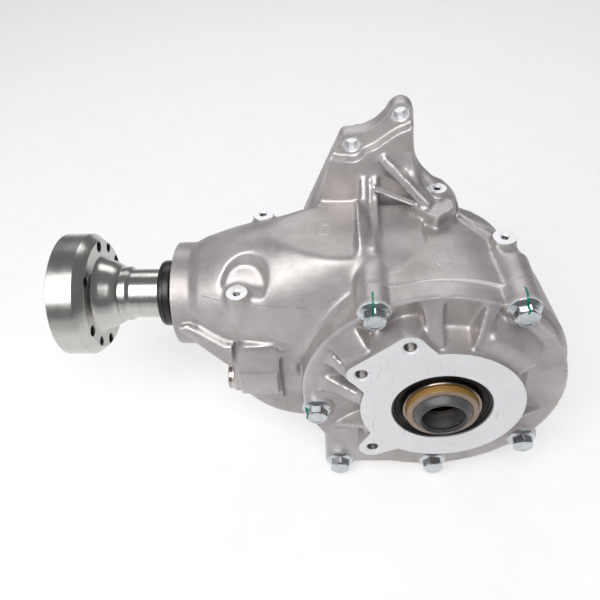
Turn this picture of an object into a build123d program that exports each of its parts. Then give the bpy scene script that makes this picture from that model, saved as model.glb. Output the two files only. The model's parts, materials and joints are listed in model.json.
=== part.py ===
from build123d import *
import math
import os

# All-wheel-drive transfer case: a cast aluminium angle gear that bolts to a transaxle.
# Lengths are millimetres. The origin is the centre of the transaxle spigot on the mating face.
# +Y runs into the transaxle along the input axis, -X runs out of the output flange, +Z is up.

# Main distances
case_depth = 115.0          # mating face to the joint with the side cover
cover_depth = 35.0          # cover joint to the machined pad
rim_thick = 17.0            # thickness of the cover's bolting rim
output_back = 56.5          # output axis ahead of the mating face
output_rise = 32.6          # hypoid offset of the output axis above the input axis
flange_reach = 298.0        # input axis to the driven face of the output flange

# Casting walls
barrel_radius = 97.0        # gear barrel at the cover joint
barrel_back_radius = 90.0   # the same near the mating flange
cavity_radius = 86.0        # room for the ring gear
cavity_floor = 22.0         # mating face to the bottom of the gear cavity
casting_wall = 7.0
mating_radius = 78.0
mating_thick = 15.0
rim_radius = 99.0
rim_centre = (-5.0, -4.0)
pad_radius = 60.0
dish_floor = 5.0            # cover rim's face to the dished floor round the pad
cover_ribs = [              # start and end degrees from +X towards +Z, crown radius, foot radius
    (33.0, 69.0, 73.0, 82.0),
    (70.0, 76.0, 66.0, 94.0),
    (94.0, 103.0, 64.0, 94.0),
    (126.0, 130.0, 66.0, 84.0),
    (133.0, 150.0, 82.0, 96.0),
    (154.0, 161.0, 72.0, 90.0),
    (170.0, 181.0, 64.0, 90.0),
    (209.0, 214.0, 62.0, 94.0),
    (262.0, 266.0, 62.0, 86.0),
    (306.0, 311.0, 62.0, 86.0),
    (338.0, 342.0, 62.0, 84.0),
]

# Clearances
seat_gap = 0.02             # pressed and bolted pieces in their seats
run_gap = 0.05              # turning pieces on what they run against
roller_gap = 0.08           # rollers off each raceway

# Input shaft and its bearings
shaft_bore = 16.0
seal_land = 29.0
cover_journal = 30.0
cover_cup_radius = 47.5
cover_bearing_width = 20.0
case_journal = 27.5
case_cup_radius = 45.0
case_bearing_width = 21.0
case_bearing_back = 7.0     # mating face to the case bearing's seat
shim_thick = 1.0
shaft_tube = 28.0
shaft_collar = 33.0         # shoulder that the case bearing's cone seats on
flange_collar = 36.0        # shoulder that the cover bearing's cone seats on
shim_bore = 42.0
seal_shoulder = 39.0        # bore between the case bearing and its seal
gear_flange_radius = 70.0
gear_flange_thick = 8.0
gear_back = 106.5           # mating face to the back of the ring gear
gear_pilot = 46.0
ring_gap_floor = 54.0       # bore of the cover and the case round the shaft
spline_radius = 25.5
spline_start = 12.0
spline_end = 42.0
spline_teeth = 26
spigot_radius = 50.0
spigot_length = 9.0
o_ring_groove = 3.0
o_ring_width = 3.1
shaft_mouth = 24.0          # spline end's opening
spline_bore = 22.5
cover_seal_radius = 36.5
case_seal_radius = 36.0
halfshaft_seal_radius = 26.4
halfshaft_seal_stand = 5.0
halfshaft_seal_wall = 4.7
halfshaft_lip_stand = 10.5

# Hypoid gear pair
ring_teeth = 31
pinion_teeth = 12
face_outer = 73.0           # input axis to the pinion's large end
face_inner = 45.0           # input axis to the pinion's small end
pressure_angle = 22.5
pinion_addendum = 4.2
ring_addendum = 3.1
tooth_clearance = 1.2
backlash = 3.3
ring_radius = 80.0
ring_bolt_circle = 62.0
ring_bolt_count = 10
ring_bolt_radius = 4.0
ring_bolt_length = 22.0
ring_bolt_washer = 7.4
ring_bolt_flats = 11.0
ring_bolt_head = 5.8

# Pinion stem and its bearings
pinion_hub = 23.5
head_journal = 20.0
head_cup_radius = 40.0
head_bearing_start = 80.0
head_bearing_end = 104.0
tail_journal = 17.5
tail_cup_radius = 36.0
tail_bearing_start = 150.0
tail_bearing_end = 170.0
stem_radius = 15.0
stem_thread_radius = 12.0
stem_end = 284.0
stem_spline_start = 205.0
stem_spline_end = 262.0
stem_spline_teeth = 24
stem_spline_depth = 1.3
bearing_rollers = 16
roller_tilt = 14.0          # degrees off the bearing's axis
roller_share = 0.38         # roller diameter as a share of the space between bore and outside
sleeve_radius = 22.0
bearing_tube = 47.0
snout_end = 203.7
snout_radius = 41.7
snout_collar = 14.1
snout_sections = [          # distance from the input axis, half depth, half height
    (181.0, 46.0, 46.5),
    (165.0, 50.0, 52.3),
    (148.0, 53.0, 57.7),
    (130.0, 55.0, 62.0),
    (107.0, 55.8, 69.5),
    (52.0, 56.0, 71.0),
]
pinion_seal_radius = 39.0
pinion_seal_back = 192.0
deflector_start = 207.0
deflector_end = 218.7
deflector_radius = 27.0

# Output flange
flange_radius = 50.0
flange_neck = 20.1
flange_seat = 266.0         # input axis to the nut's seat
flange_pilot = 38.0
flange_pilot_depth = 6.0
flange_disc_back = 269.8
flange_bell_radius = 22.4
flange_hole_circle = 40.0
flange_hole_radius = 4.0
flange_hole_count = 6
flange_first_hole = 5.0     # degrees from +Y towards +Z
flange_extra_hole = 3.4
nut_radius = 17.0
nut_height = 12.0

# Fasteners of the cover
bolt_radius = 5.0
bolt_hole_radius = 5.05
bolt_length = 40.0
bolt_washer_radius = 10.75
bolt_flats = 15.0
bolt_head = 9.5
bolt_boss_radius = 12.5
bolt_circle = 96.0
bolt_angles = [122.4, 60.5, -165.2, -87.5, -40.5]
corner_bolt = (-75.0, -97.0)
dowel_radius = 7.0
dowel_length = 12.0
dowelled_bolts = [0, 4]

# Outside features
support_hole_radius = 4.25
support_holes = [(-27.9, 65.6), (-59.8, 37.8), (-49.2, -51.4)]
ear_hole_radius = 5.25
ear_holes = [(-64.3, 140.6), (-29.4, 164.2)]
ear_thick = 13.0
ear_step = 8.0              # how far the lower part of the ear stands ahead of its bolt faces
ear_spot_radius = 9.6
mating_hole_radius = 4.25
mating_hole_circle = 68.0
mating_hole_angles = [30.0, 150.0, -90.0]
small_hole_radius = 2.5
small_hole_depth = 12.0
small_bosses = [                # top centre, boss radius, foot height
    ((-134.0, -29.0, 91.0), 8.1, 60.0),
    ((-150.0, -98.5, 70.0), 8.85, 20.0),
    ((1.0, -23.0, 108.0), 7.2, 80.0),
    ((46.0, -66.0, 93.0), 8.9, 66.0),
]
lobe_centre = (-100.0, -10.0)
lobe_radius = 60.0
lobe_front = 105.0
lobe_back = 30.0
plug_radius = 8.0
plug_head_radius = 11.0
plug_socket = 8.0
plug_washer_thick = 1.5
fill_plug_spot = (-163.0, -93.0, -30.0)
drain_plug_spot = (-28.0, -60.0, -101.0)
vent_radius = 2.2
vent_bore = 1.2
vent_foot = (-14.0, -35.0, 100.8)
vent_tip = (-50.0, -35.0, 117.7)

joint_y = -case_depth
pad_y = -case_depth - cover_depth
rim_y = joint_y - rim_thick
cover_cup_seat = joint_y - 2 - cover_bearing_width
bolt_spots = [(bolt_circle * math.cos(math.radians(a)), bolt_circle * math.sin(math.radians(a)))
              for a in bolt_angles] + [corner_bolt]
pinion_ratio = pinion_teeth / ring_teeth


def lathe_input(corners):
    """Turned solid about the input axis from (radius, Y) corners."""
    return revolve(make_face(Polyline(*corners, close=True)), Axis.Y)


def lathe_output(corners):
    """Turned solid about the output axis from (distance from the input axis, radius) corners."""
    outline = [(-reach, radius) for reach, radius in corners]
    turned = revolve(make_face(Polyline(*outline, close=True)), Axis.X)
    return Pos(0, -output_back, output_rise) * turned


def slab(sketch, y_low, y_high):
    """Prism of an X-Z sketch between two Y planes."""
    face_plane = Plane((0, y_high, 0), x_dir=(1, 0, 0), z_dir=(0, -1, 0))
    return extrude(face_plane * sketch, amount=y_high - y_low)


def post(x, z, radius, y_low, y_high):
    return slab(Pos(x, z) * Circle(radius), y_low, y_high)


def side_web(corners, x_low, x_high):
    """Web parallel to the Y-Z plane from (Y, Z) corners."""
    web_plane = Plane((x_low, 0, 0), x_dir=(0, 1, 0), z_dir=(1, 0, 0))
    return extrude(web_plane * make_face(Polyline(*corners, close=True)), amount=x_high - x_low)


def level_web(corners, z_low, z_high):
    """Web parallel to the X-Y plane from (X, Y) corners."""
    return extrude(Pos(0, 0, z_low) * make_face(Polyline(*corners, close=True)), amount=z_high - z_low)


def polar_spots(radius, angles):
    return [(radius * math.cos(math.radians(a)), radius * math.sin(math.radians(a))) for a in angles]


def input_sector(corners, start, end):
    """Part turn about the input axis; angles run from +X towards +Z."""
    outline = make_face(Polyline(*corners, close=True))
    return Rot(0, -end, 0) * revolve(outline, Axis.Y, revolution_arc=end - start)


def hexagon(flats):
    return RegularPolygon(flats / 2, 6, major_radius=False)


# Cast housing

def rim_outline():
    """Bolting rim shared by the cover and the case."""
    outline = Pos(*rim_centre) * Circle(rim_radius)
    corner_x, corner_z = corner_bolt
    outline += make_face(Polyline((corner_x - 13, -45), (corner_x - 12, corner_z),
                                  (corner_x - 9, corner_z - 3), (-20, corner_z - 3), (-20, -45), close=True))
    for x, z in bolt_spots:
        outline += Pos(x, z) * Circle(bolt_boss_radius)
    return outline


def ear_outline():
    """Ear seen from the front: two bolt eyes, the hollow between them and the flare to the right."""
    (left_x, left_z), (right_x, right_z) = ear_holes
    edge = [
        Polyline((-8, 92), (0, 40), (-80, 30), (-104, 76), (left_x - 10, left_z + 4)),
        ThreePointArc((left_x - 10, left_z + 4), (left_x - 7.5, left_z + 8.5), (left_x - 2, left_z + 10)),
        ThreePointArc((left_x - 2, left_z + 10), (-50.5, 154.4), (right_x - 8.5, right_z + 3.4)),
        ThreePointArc((right_x - 8.5, right_z + 3.4), (right_x, right_z + 9.2), (right_x + 9.2, right_z)),
        Polyline((right_x + 9.2, right_z), (right_x + 11.6, right_z - 28)),
        ThreePointArc((right_x + 11.6, right_z - 28), (-11.6, 114.5), (3, 104.4)),
        ThreePointArc((3, 104.4), (15.5, 94.5), (24, 74)),
        Polyline((24, 74), (-8, 92)),
    ]
    return make_face(edge)


def ear_plate():
    """Upper ear that bolts to the transaxle, with its step and gusset ribs."""
    (left_x, left_z), (right_x, right_z) = ear_holes
    plate = slab(ear_outline(), -ear_thick, 0)
    step = make_face(Polyline((-100, 60), (left_x - 17, left_z - 7), (left_x - 6, left_z - 9),
                              (left_x + 6, left_z - 4.5), (-46.8, 141.6), (-35.4, 150.4),
                              (right_x + 8, right_z - 5), (right_x + 10.8, right_z - 30),
                              (right_x + 13, 60), close=True))
    front = -ear_thick - ear_step
    plate += slab(step, front, -ear_thick)
    for x in (-57.5, -49.0):
        plate += side_web([(-98, 70), (-98, 91), (-72, 96), (-36, 106), (front, 120), (-10, 120), (-10, 70)],
                          x, x + 4.5)
    plate += side_web([(-98, 70), (-98, 90), (-72, 94.5), (-36, 103), (front, 116), (-10, 70)], -54, -48)
    plate += gusset((-43, 135), (-8, 104), 7, 24, 44)
    plate += gusset((right_x + 7.5, 138), (-13, 104), 6, 22, 36)
    plate += gusset((-13, 106), (6, 88), 6, 34, 40)
    return plate


def gusset(start, end, thick, start_depth, end_depth):
    """Rib that stands on the ear plate between two X-Z points and deepens towards the second."""
    run = math.hypot(end[0] - start[0], end[1] - start[1])
    along = ((end[0] - start[0]) / run, 0, (end[1] - start[1]) / run)
    side = (along[2], 0, -along[0])
    rib_plane = Plane((start[0] - side[0] * thick / 2, 0, start[1] - side[2] * thick / 2),
                      x_dir=along, z_dir=side)
    depth = 1 if rib_plane.y_dir.Y < 0 else -1
    outline = make_face(Polyline((0, depth * 5), (0, depth * start_depth), (run, depth * end_depth),
                                 (run, depth * 5), close=True))
    return extrude(rib_plane * outline, amount=thick)


def snout_body(sections):
    faces = []
    for reach, depth, height in sections:
        section_plane = Plane((-reach, -output_back, output_rise), x_dir=(0, 1, 0), z_dir=(1, 0, 0))
        faces.append(section_plane * Ellipse(depth, height))
    return loft(faces)


def front_webs():
    """Square pad on the front and the ribs that tie it to the snout and the barrel."""
    webs = side_web([(-116, 31), (-116, -2), (-108, -42), (-60, -42), (-60, 31)], -147.4, -121.7)
    webs += level_web([(-193, -62), (-193, -97), (-160, -114), (-147, -116), (-121, -116),
                       (-104, -110), (-104, -62)], 23, 29)
    webs += side_web([(-104, 26), (-109, -2), (-100, -40), (-60, -40), (-60, 26)], -121.7, -108)
    webs += side_web([(-107, 26), (-107, -20), (-60, -30), (-60, 26)], -160, -154)
    return webs


def standing(radius, height):
    """Cylinder that stands on its own origin."""
    return Cylinder(radius, height, align=(Align.CENTER, Align.CENTER, Align.MIN))


def gear_barrel():
    return lathe_input([(0, joint_y), (barrel_radius, joint_y), (93, -62), (barrel_back_radius, -38),
                        (86, -26), (mating_radius, -mating_thick), (mating_radius, 0), (0, 0)])


def snout_mouth():
    collar_back = snout_end - snout_collar
    return lathe_output([(snout_end, 0), (snout_end, snout_radius), (collar_back, snout_radius), (181, 46.4),
                         (178, 0)])


def outer_casting():
    """The housing before any hollow or bore is cut."""
    casting = gear_barrel() + slab(rim_outline(), joint_y, joint_y + 12)
    for x, z in bolt_spots:
        casting += post(x, z, bolt_boss_radius, joint_y, joint_y + 30)
    left_bolt_x, left_bolt_z = bolt_spots[0]
    casting += post(left_bolt_x, left_bolt_z - 3, bolt_boss_radius, joint_y + 20, joint_y + 44)
    casting += snout_body(snout_sections)
    casting += snout_mouth()
    casting += post(*lobe_centre, lobe_radius, -lobe_front, -lobe_back)
    casting += front_webs()
    casting += ear_plate()
    casting += level_web([(-20, -38), (-2, -50.5), (13, -44), (15, -30), (10, -10), (-12, -10)], 80, 101)
    for (x, y, top), radius, foot in small_bosses:
        boss = Cone(radius + 1.2, radius, top - foot, align=(Align.CENTER, Align.CENTER, Align.MIN))
        casting += Pos(x, y, foot) * boss
    casting += Plane(fill_plug_spot, z_dir=(1, 0, 0)) * standing(plug_head_radius + 2, 40)
    casting += Pos(*drain_plug_spot) * standing(plug_head_radius + 3, 20)
    casting += post(0, 0, spigot_radius, 0, spigot_length)
    return casting


def casting_hollow():
    """Oil spaces outside the pinion's bearing tube."""
    depth_limit = Pos(-110, -output_back, output_rise) * Box(180, 2 * (output_back - 9), 200)
    sections = [(max(reach, 70.0), depth - casting_wall, height - casting_wall)
                for reach, depth, height in snout_sections if reach < 160]
    hollow = snout_body(sections) & depth_limit
    hollow += post(*lobe_centre, lobe_radius - casting_wall, -lobe_front + casting_wall,
                   -lobe_back - casting_wall)
    relief_x, relief_y = relief_spot()
    hollow -= Pos(relief_x, relief_y, output_rise) * Cylinder(21, 200)
    hollow -= post(*bolt_spots[2], bolt_boss_radius - 2, joint_y, joint_y + 32)
    return hollow


def relief_spot():
    (x, y, top), radius, foot = small_bosses[1]
    return x + 5, y + 7


def input_bores():
    """Gear cavity, case bearing seat and case seal seat, all on the input axis."""
    return lathe_input([
        (0, joint_y - 1), (cavity_radius, joint_y - 1), (cavity_radius - 2, -46), (76, -cavity_floor),
        (ring_gap_floor, -cavity_floor), (52, -30), (case_cup_radius, -30),
        (case_cup_radius, -case_bearing_back), (seal_shoulder, -case_bearing_back), (seal_shoulder, -4),
        (case_seal_radius, -4), (case_seal_radius, spigot_length + 1), (0, spigot_length + 1)])


def output_bores():
    """Pinion space, both pinion bearing seats and the pinion seal seat, all on the output axis."""
    return lathe_output([
        (snout_end + 1, 0), (snout_end + 1, pinion_seal_radius), (pinion_seal_back, pinion_seal_radius),
        (pinion_seal_back, tail_cup_radius), (tail_bearing_start, tail_cup_radius),
        (tail_bearing_start, tail_cup_radius - 3), (head_bearing_end, tail_cup_radius - 3),
        (head_bearing_end, head_cup_radius), (60, head_cup_radius), (60, 36), (44, 28), (44, 0)])


def case_holes():
    """Bolt, dowel and accessory holes of the case, with the pockets in its mating face."""
    groove_y = spigot_length / 2
    groove_floor = spigot_radius - o_ring_groove
    bores = lathe_input([(groove_floor, groove_y - 2), (spigot_radius + 1, groove_y - 2),
                         (spigot_radius + 1, groove_y + 2), (groove_floor, groove_y + 2)])
    for x, z in bolt_spots:
        bores += post(x, z, bolt_hole_radius, joint_y - 1, joint_y + bolt_length - rim_thick + 2)
    for index in dowelled_bolts:
        x, z = bolt_spots[index]
        bores += post(x, z, dowel_radius + seat_gap, joint_y - 1, joint_y + dowel_length / 2)
    for x, z in ear_holes:
        bores += post(x, z, ear_hole_radius, -40, 1)
        bores += post(x, z, ear_spot_radius, -40, -ear_thick)
    for x, z in polar_spots(mating_hole_circle, mating_hole_angles):
        bores += post(x, z, mating_hole_radius, 1 - mating_thick, 1)
    for (x, y, top), radius, foot in small_bosses:
        bores += Pos(x, y, top - small_hole_depth) * standing(small_hole_radius, small_hole_depth + 1)
    for start in mating_hole_angles:
        bores += input_sector([(56, -11), (71, -11), (71, 1), (56, 1)], start + 24, start + 96)
    return bores


def plug_holes():
    fill_x, fill_y, fill_z = fill_plug_spot
    drain_x, drain_y, drain_z = drain_plug_spot
    holes = Plane((fill_x - 1, fill_y, fill_z), z_dir=(1, 0, 0)) * standing(plug_radius + seat_gap, 40)
    holes += Pos(drain_x, drain_y, drain_z - 1) * standing(plug_radius + seat_gap, 30)
    vent = Vector(*vent_tip) - Vector(*vent_foot)
    holes += Plane(vent_foot, z_dir=vent) * Cylinder(vent_radius + seat_gap, 16)
    return holes


def main_case():
    casting = outer_casting()
    casting -= relief_pocket()
    casting -= casting_hollow()
    casting += lathe_output([(172, 0), (172, bearing_tube - 1), (78, bearing_tube), (78, 0)])
    for cutter in (output_bores(), input_bores(), case_holes(), plug_holes()):
        casting -= cutter
    return casting


def relief_pocket():
    """Tool relief behind the front boss, left round a standing post."""
    (x, y, top), radius, foot = small_bosses[1]
    return Pos(*relief_spot(), top - 3) * standing(17, 40) - Pos(x, y, foot) * standing(radius, top - foot)


# Side cover

def support_outline():
    """Machined pad: a disc with three ears for the support bracket."""
    ear = 11
    outline = Circle(pad_radius)
    for x, z in support_holes:
        outline += Pos(x, z) * Circle(ear)
        reach = math.hypot(x, z)
        side_x, side_z = -z / reach * ear, x / reach * ear
        root_x, root_z = x * 0.55, z * 0.55
        outline += make_face(Polyline((x + side_x, z + side_z), (root_x + 2 * side_x, root_z + 2 * side_z),
                                      (root_x - 2 * side_x, root_z - 2 * side_z), (x - side_x, z - side_z),
                                      close=True))
    (first_x, first_z), (second_x, second_z) = support_holes[:2]
    outline += make_face(Polyline((first_x, first_z), (first_x - 7.3, first_z + 8.2),
                                  (second_x - 7.3, second_z + 8.2), (second_x, second_z), (0, 0), close=True))
    return outline


def cover_dish():
    """Hollow ring between the cover's rim and its pad."""
    floor_y = rim_y + dish_floor
    return lathe_input([(pad_radius + 2, rim_y - 1), (pad_radius + 4, floor_y), (74, floor_y),
                        (84, floor_y - 2), (91, floor_y - 4), (96.5, rim_y - 0.5), (96.5, rim_y - 1)])


def cover_rib(start, end, crown, foot):
    """Rib from the pad down to the rim."""
    low = rim_y + dish_floor + 2
    return input_sector([(pad_radius - 4, low), (pad_radius - 4, pad_y + 3.5), (crown, pad_y + 5),
                         (foot, rim_y + 0.5), (foot, low)], start, end)


def cover_front():
    """The cover before its inside and its holes are cut."""
    floor_y = rim_y + dish_floor
    front = slab(rim_outline(), rim_y, joint_y) - cover_dish()
    front += slab(support_outline(), pad_y, floor_y + 2)
    front += lathe_input([(0, floor_y + 2), (pad_radius + 6, floor_y + 2), (pad_radius + 3, floor_y - 4),
                          (pad_radius, pad_y + 3), (0, pad_y + 3)])
    for x, z in bolt_spots:
        front += post(x, z, bolt_boss_radius, rim_y, floor_y + 2)
    for start, end, crown, foot in cover_ribs:
        front += cover_rib(start, end, crown, foot)
    return front


def side_cover():
    cover = cover_front()
    cavity_end = rim_y + dish_floor + 5
    cover -= lathe_input([(0, joint_y + 1), (cavity_radius, joint_y + 1), (cavity_radius, cavity_end + 1),
                          (cavity_radius - 5, cavity_end), (ring_gap_floor, cavity_end),
                          (ring_gap_floor - 1, joint_y - 1), (0, joint_y - 1)])
    cup_seat = cover_cup_seat
    seal_seat = joint_y - 24
    cover -= lathe_input([(0, joint_y + 1), (cover_cup_radius, joint_y + 1), (cover_cup_radius, cup_seat),
                          (shim_bore, cup_seat), (shim_bore, seal_seat), (cover_seal_radius, seal_seat),
                          (cover_seal_radius, pad_y + 0.7), (cover_seal_radius + 0.7, pad_y),
                          (cover_seal_radius + 0.7, pad_y - 1), (0, pad_y - 1)])
    for x, z in support_holes:
        cover -= post(x, z, support_hole_radius, pad_y - 1, rim_y + 1)
    for x, z in bolt_spots:
        cover -= post(x, z, bolt_hole_radius, rim_y - 30, joint_y + 1)
        cover -= post(x, z, bolt_washer_radius + 0.5, rim_y - 30, rim_y)
    for index in dowelled_bolts:
        x, z = bolt_spots[index]
        cover -= post(x, z, dowel_radius + seat_gap, joint_y - dowel_length / 2, joint_y + 1)
    return cover


# Fasteners and plugs

def lathe_local(corners):
    """Turned solid about the local Z axis from (radius, Z) corners."""
    return revolve(Plane.XZ * make_face(Polyline(*corners, close=True)), Axis.Z)


def flange_bolt(radius, length, washer_radius, flats, head):
    """Flanged hexagon bolt: the seat is at the local origin, the shank runs along +Z."""
    bolt = lathe_local([(0, 0), (washer_radius, 0), (washer_radius, -1.2), (washer_radius - 2.2, -2.6),
                        (0, -2.6)])
    crown = lathe_local([(0, 0), (flats, 0), (flats, 1.5 - head), (flats * 0.47, -head), (0, -head)])
    bolt += extrude(hexagon(flats), amount=-head) & crown
    bolt += lathe_local([(0, -1), (radius, -1), (radius, length - 1.5), (radius - 1.5, length), (0, length)])
    return bolt


def along_y(x, y, z):
    """Local frame with its Z axis along +Y."""
    return Plane((x, y, z), x_dir=(1, 0, 0), z_dir=(0, 1, 0))


def along_output(reach, towards_flange=True):
    """Local frame on the output axis with its Z axis towards the flange or back from it."""
    direction = (-1, 0, 0) if towards_flange else (1, 0, 0)
    return Plane((-reach, -output_back, output_rise), x_dir=(0, 1, 0), z_dir=direction)


def cover_bolts():
    bolt = flange_bolt(bolt_radius, bolt_length, bolt_washer_radius, bolt_flats, bolt_head)
    return [along_y(x, rim_y, z) * Rot(0, 0, 13 * i) * bolt for i, (x, z) in enumerate(bolt_spots)]


def cover_dowels():
    sleeve = Circle(dowel_radius) - Circle(bolt_radius + 0.3)
    half = dowel_length / 2 - seat_gap
    return [slab(Pos(*bolt_spots[i]) * sleeve, joint_y - half, joint_y + half) for i in dowelled_bolts]


def threaded_plug():
    """Plug with a hexagon socket; its seat is at the local origin, the thread runs along +Z."""
    under = -plug_washer_thick
    plug = lathe_local([(0, -5), (plug_head_radius - 0.8, -5), (plug_head_radius, -4.2),
                        (plug_head_radius, under), (0, under)])
    plug += lathe_local([(0, -1.6), (plug_radius, -1.6), (plug_radius, 12), (plug_radius - 1, 13), (0, 13)])
    return plug - extrude(Pos(0, 0, -6) * hexagon(plug_socket), amount=7)


def plug_washer():
    ring = Circle(plug_head_radius + 0.6) - Circle(plug_radius + 0.1)
    return extrude(Pos(0, 0, -plug_washer_thick) * ring, amount=plug_washer_thick)


def vent_tube():
    """Breather pipe with a ball end."""
    run = Vector(*vent_tip) - Vector(*vent_foot)
    ball = vent_radius + 1
    end = run.length
    pipe = lathe_local([(vent_bore, -7), (vent_radius, -7), (vent_radius, end - 3), (ball, end - 2),
                        (ball, end - 0.6), (vent_radius, end), (vent_bore, end)])
    return Plane(vent_foot, z_dir=run) * pipe


# Bearings and seals

def taper_bearing(bore, outside, width, rollers):
    """Taper roller bearing about the local Z axis: small end at 0, big end at its width."""
    middle = (bore + outside) / 2
    half_roller = (outside - bore) * roller_share / 2
    tilt = math.radians(roller_tilt)
    slope = math.tan(tilt)
    growth = math.tan(math.radians(2))

    def line(z):
        return middle + (z - width / 2) * slope

    def half_space(z):
        return (half_roller + (z - width / 2) * growth) / math.cos(tilt) + roller_gap

    def inner(z):
        return line(z) - half_space(z)

    def outer(z):
        return line(z) + half_space(z)

    low, high = 0.14 * width, 0.84 * width
    lip = high + half_roller * math.sin(tilt) + 0.1
    cup_width = 0.9 * width
    cone = lathe_local([(bore + seat_gap, 0), (inner(0) + 0.9, 0), (inner(low) + 0.9, low), (inner(low), low),
                        (inner(lip), lip), (inner(lip) + 2, lip), (inner(width) + 1.4, width),
                        (bore + seat_gap, width)])
    cup = lathe_local([(outer(0), 0), (outside - seat_gap, 0), (outside - seat_gap, cup_width),
                       (outer(cup_width), cup_width)])
    length = (high - low - 0.4) / math.cos(tilt)
    end_change = length / 2 * growth
    roller = Cone(half_roller - end_change, half_roller + end_change, length)
    seated = Pos(middle, 0, width / 2) * Rot(0, roller_tilt, 0) * roller
    cage = lathe_local([(line(low) - 1, low - 1.6), (line(low) + 1, low - 1.6), (line(low) + 1, low - 0.4),
                        (line(low) - 1, low - 0.4)])
    rolling = [Rot(0, 0, 360 * i / rollers) * seated for i in range(rollers)] + [cage]
    return cone, cup, rolling


def roller_speed(bore, outside):
    """Turn of the roller set for one turn of the cone."""
    middle = (bore + outside) / 2
    roller = (outside - bore) * roller_share
    return 0.5 * (1 - roller * math.cos(math.radians(roller_tilt)) / (2 * middle))


def radial_seal(shaft_radius, outside, width):
    """Shaft seal about the local Z axis: its air side is at 0."""
    return lathe_local([
        (shaft_radius + run_gap, 2), (shaft_radius + run_gap, 5), (shaft_radius + 1.5, 6),
        (shaft_radius + 1.8, width), (outside - seat_gap, width), (outside - seat_gap, 0), (outside - 2, 0),
        (outside - 2.8, 1.4), (shaft_radius + 3.4, 1.4), (shaft_radius + 2.6, 0.6),
        (shaft_radius + 1.2, 0.6)])


# Input shaft and gears

def spline_profile(radius, teeth, depth, slack=0.0):
    """Straight-sided spline outline; slack widens it for the bore that takes it."""
    corners = []
    step = 360 / teeth
    for i in range(teeth):
        for part, reach in ((-0.31, radius - depth), (-0.19, radius), (0.19, radius), (0.31, radius - depth)):
            angle = math.radians(step * (i + part))
            corners.append(((reach + slack) * math.cos(angle), (reach + slack) * math.sin(angle)))
    return make_face(Polyline(*corners, close=True))


def input_shaft():
    """Hollow input shaft: it carries the ring gear on its flange and drives through a male spline."""
    seal_back = pad_y + 9
    flange_back = -gear_back - gear_flange_thick
    case_cone_end = -case_bearing_back - case_bearing_width
    shaft = lathe_input([
        (shaft_bore, seal_back), (halfshaft_seal_radius, seal_back), (halfshaft_seal_radius, pad_y + 0.5),
        (halfshaft_seal_radius + 0.5, pad_y), (seal_land - 0.4, pad_y), (seal_land, pad_y + 0.8),
        (seal_land, cover_cup_seat), (cover_journal, cover_cup_seat), (cover_journal, joint_y - 1),
        (flange_collar, joint_y - 1), (flange_collar, flange_back), (gear_flange_radius, flange_back),
        (gear_flange_radius, -gear_back), (gear_pilot, -gear_back), (gear_pilot, -86), (gear_pilot - 2, -84),
        (shaft_tube + 6, -84), (shaft_tube + 1, -78), (shaft_tube, -34), (shaft_collar, -31),
        (shaft_collar, case_cone_end), (case_journal, case_cone_end), (case_journal, -case_bearing_back),
        (case_journal - 0.5, -case_bearing_back), (case_journal - 0.5, 7), (shaft_mouth, 9),
        (shaft_mouth, spline_start), (spline_bore, spline_start), (spline_bore, spline_end),
        (shaft_bore, spline_end)])
    teeth = spline_profile(spline_radius, spline_teeth, 2.2) - Circle(spline_bore - 0.5)
    shaft += slab(teeth, spline_start, spline_end - 1)
    for x, z in ring_bolt_spots():
        shaft -= post(x, z, ring_bolt_radius + run_gap, flange_back - 1, -gear_back + 1)
    return shaft


def ring_bolt_spots():
    step = 360 / ring_bolt_count
    return polar_spots(ring_bolt_circle, [step * i + 10 for i in range(ring_bolt_count)])


def pitch_depth(reach):
    """Y of the ring gear's pitch line beside the output axis, at a distance from the input axis."""
    return -output_back - pinion_ratio * reach


def ring_gear():
    """Bevel ring gear with straight-sided tooth gaps that all point at the pinion's apex."""
    toe = math.hypot(face_inner, output_rise)
    heel = math.hypot(face_outer, output_rise)
    scale = face_inner / face_outer
    heel_y, toe_y = pitch_depth(face_outer), pitch_depth(face_inner)
    bore = gear_pilot + seat_gap
    gear = lathe_input([(bore, -gear_back), (ring_radius, -gear_back), (ring_radius, heel_y - 2),
                        (heel - 0.6, heel_y + ring_addendum), (toe, toe_y + ring_addendum * scale),
                        (toe - 1.5, toe_y - 3), (bore, toe_y - 10)])
    for i in range(ring_teeth):
        gear -= Rot(0, 360 / ring_teeth * i, 0) * tooth_gap()
    thread_end = -gear_back + ring_bolt_length - gear_flange_thick + 2
    for x, z in ring_bolt_spots():
        gear -= post(x, z, ring_bolt_radius + seat_gap, -gear_back - 1, thread_end)
    return gear


def tooth_gap():
    """Wedge cut out of the ring gear where the pinion stands; its edges meet at the pinion's apex."""
    pitch = 2 * math.pi * pinion_ratio * face_outer / pinion_teeth
    half_gap = (pitch + backlash) / 4
    slope = math.tan(math.radians(pressure_angle))
    above = ring_addendum + 4
    below = pinion_addendum + tooth_clearance

    def section(reach):
        size = reach / face_outer
        level = pitch_depth(reach)
        corners = [(output_rise + side * (half_gap + slope * rise) * size, level + rise * size)
                   for side, rise in ((-1, above), (1, above), (1, -below), (-1, -below))]
        gap_plane = Plane((-reach, 0, 0), x_dir=(0, 0, 1), z_dir=(-1, 0, 0))
        flip = 1 if gap_plane.y_dir.Y > 0 else -1
        return gap_plane * make_face(Polyline(*[(z, flip * y) for z, y in corners], close=True))

    return loft([section(face_inner - 14), section(face_outer + 14)], ruled=True)


def ring_gear_bolts():
    bolt = flange_bolt(ring_bolt_radius, ring_bolt_length, ring_bolt_washer, ring_bolt_flats, ring_bolt_head)
    return [along_y(x, -gear_back - gear_flange_thick, z) * bolt for x, z in ring_bolt_spots()]


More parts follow.
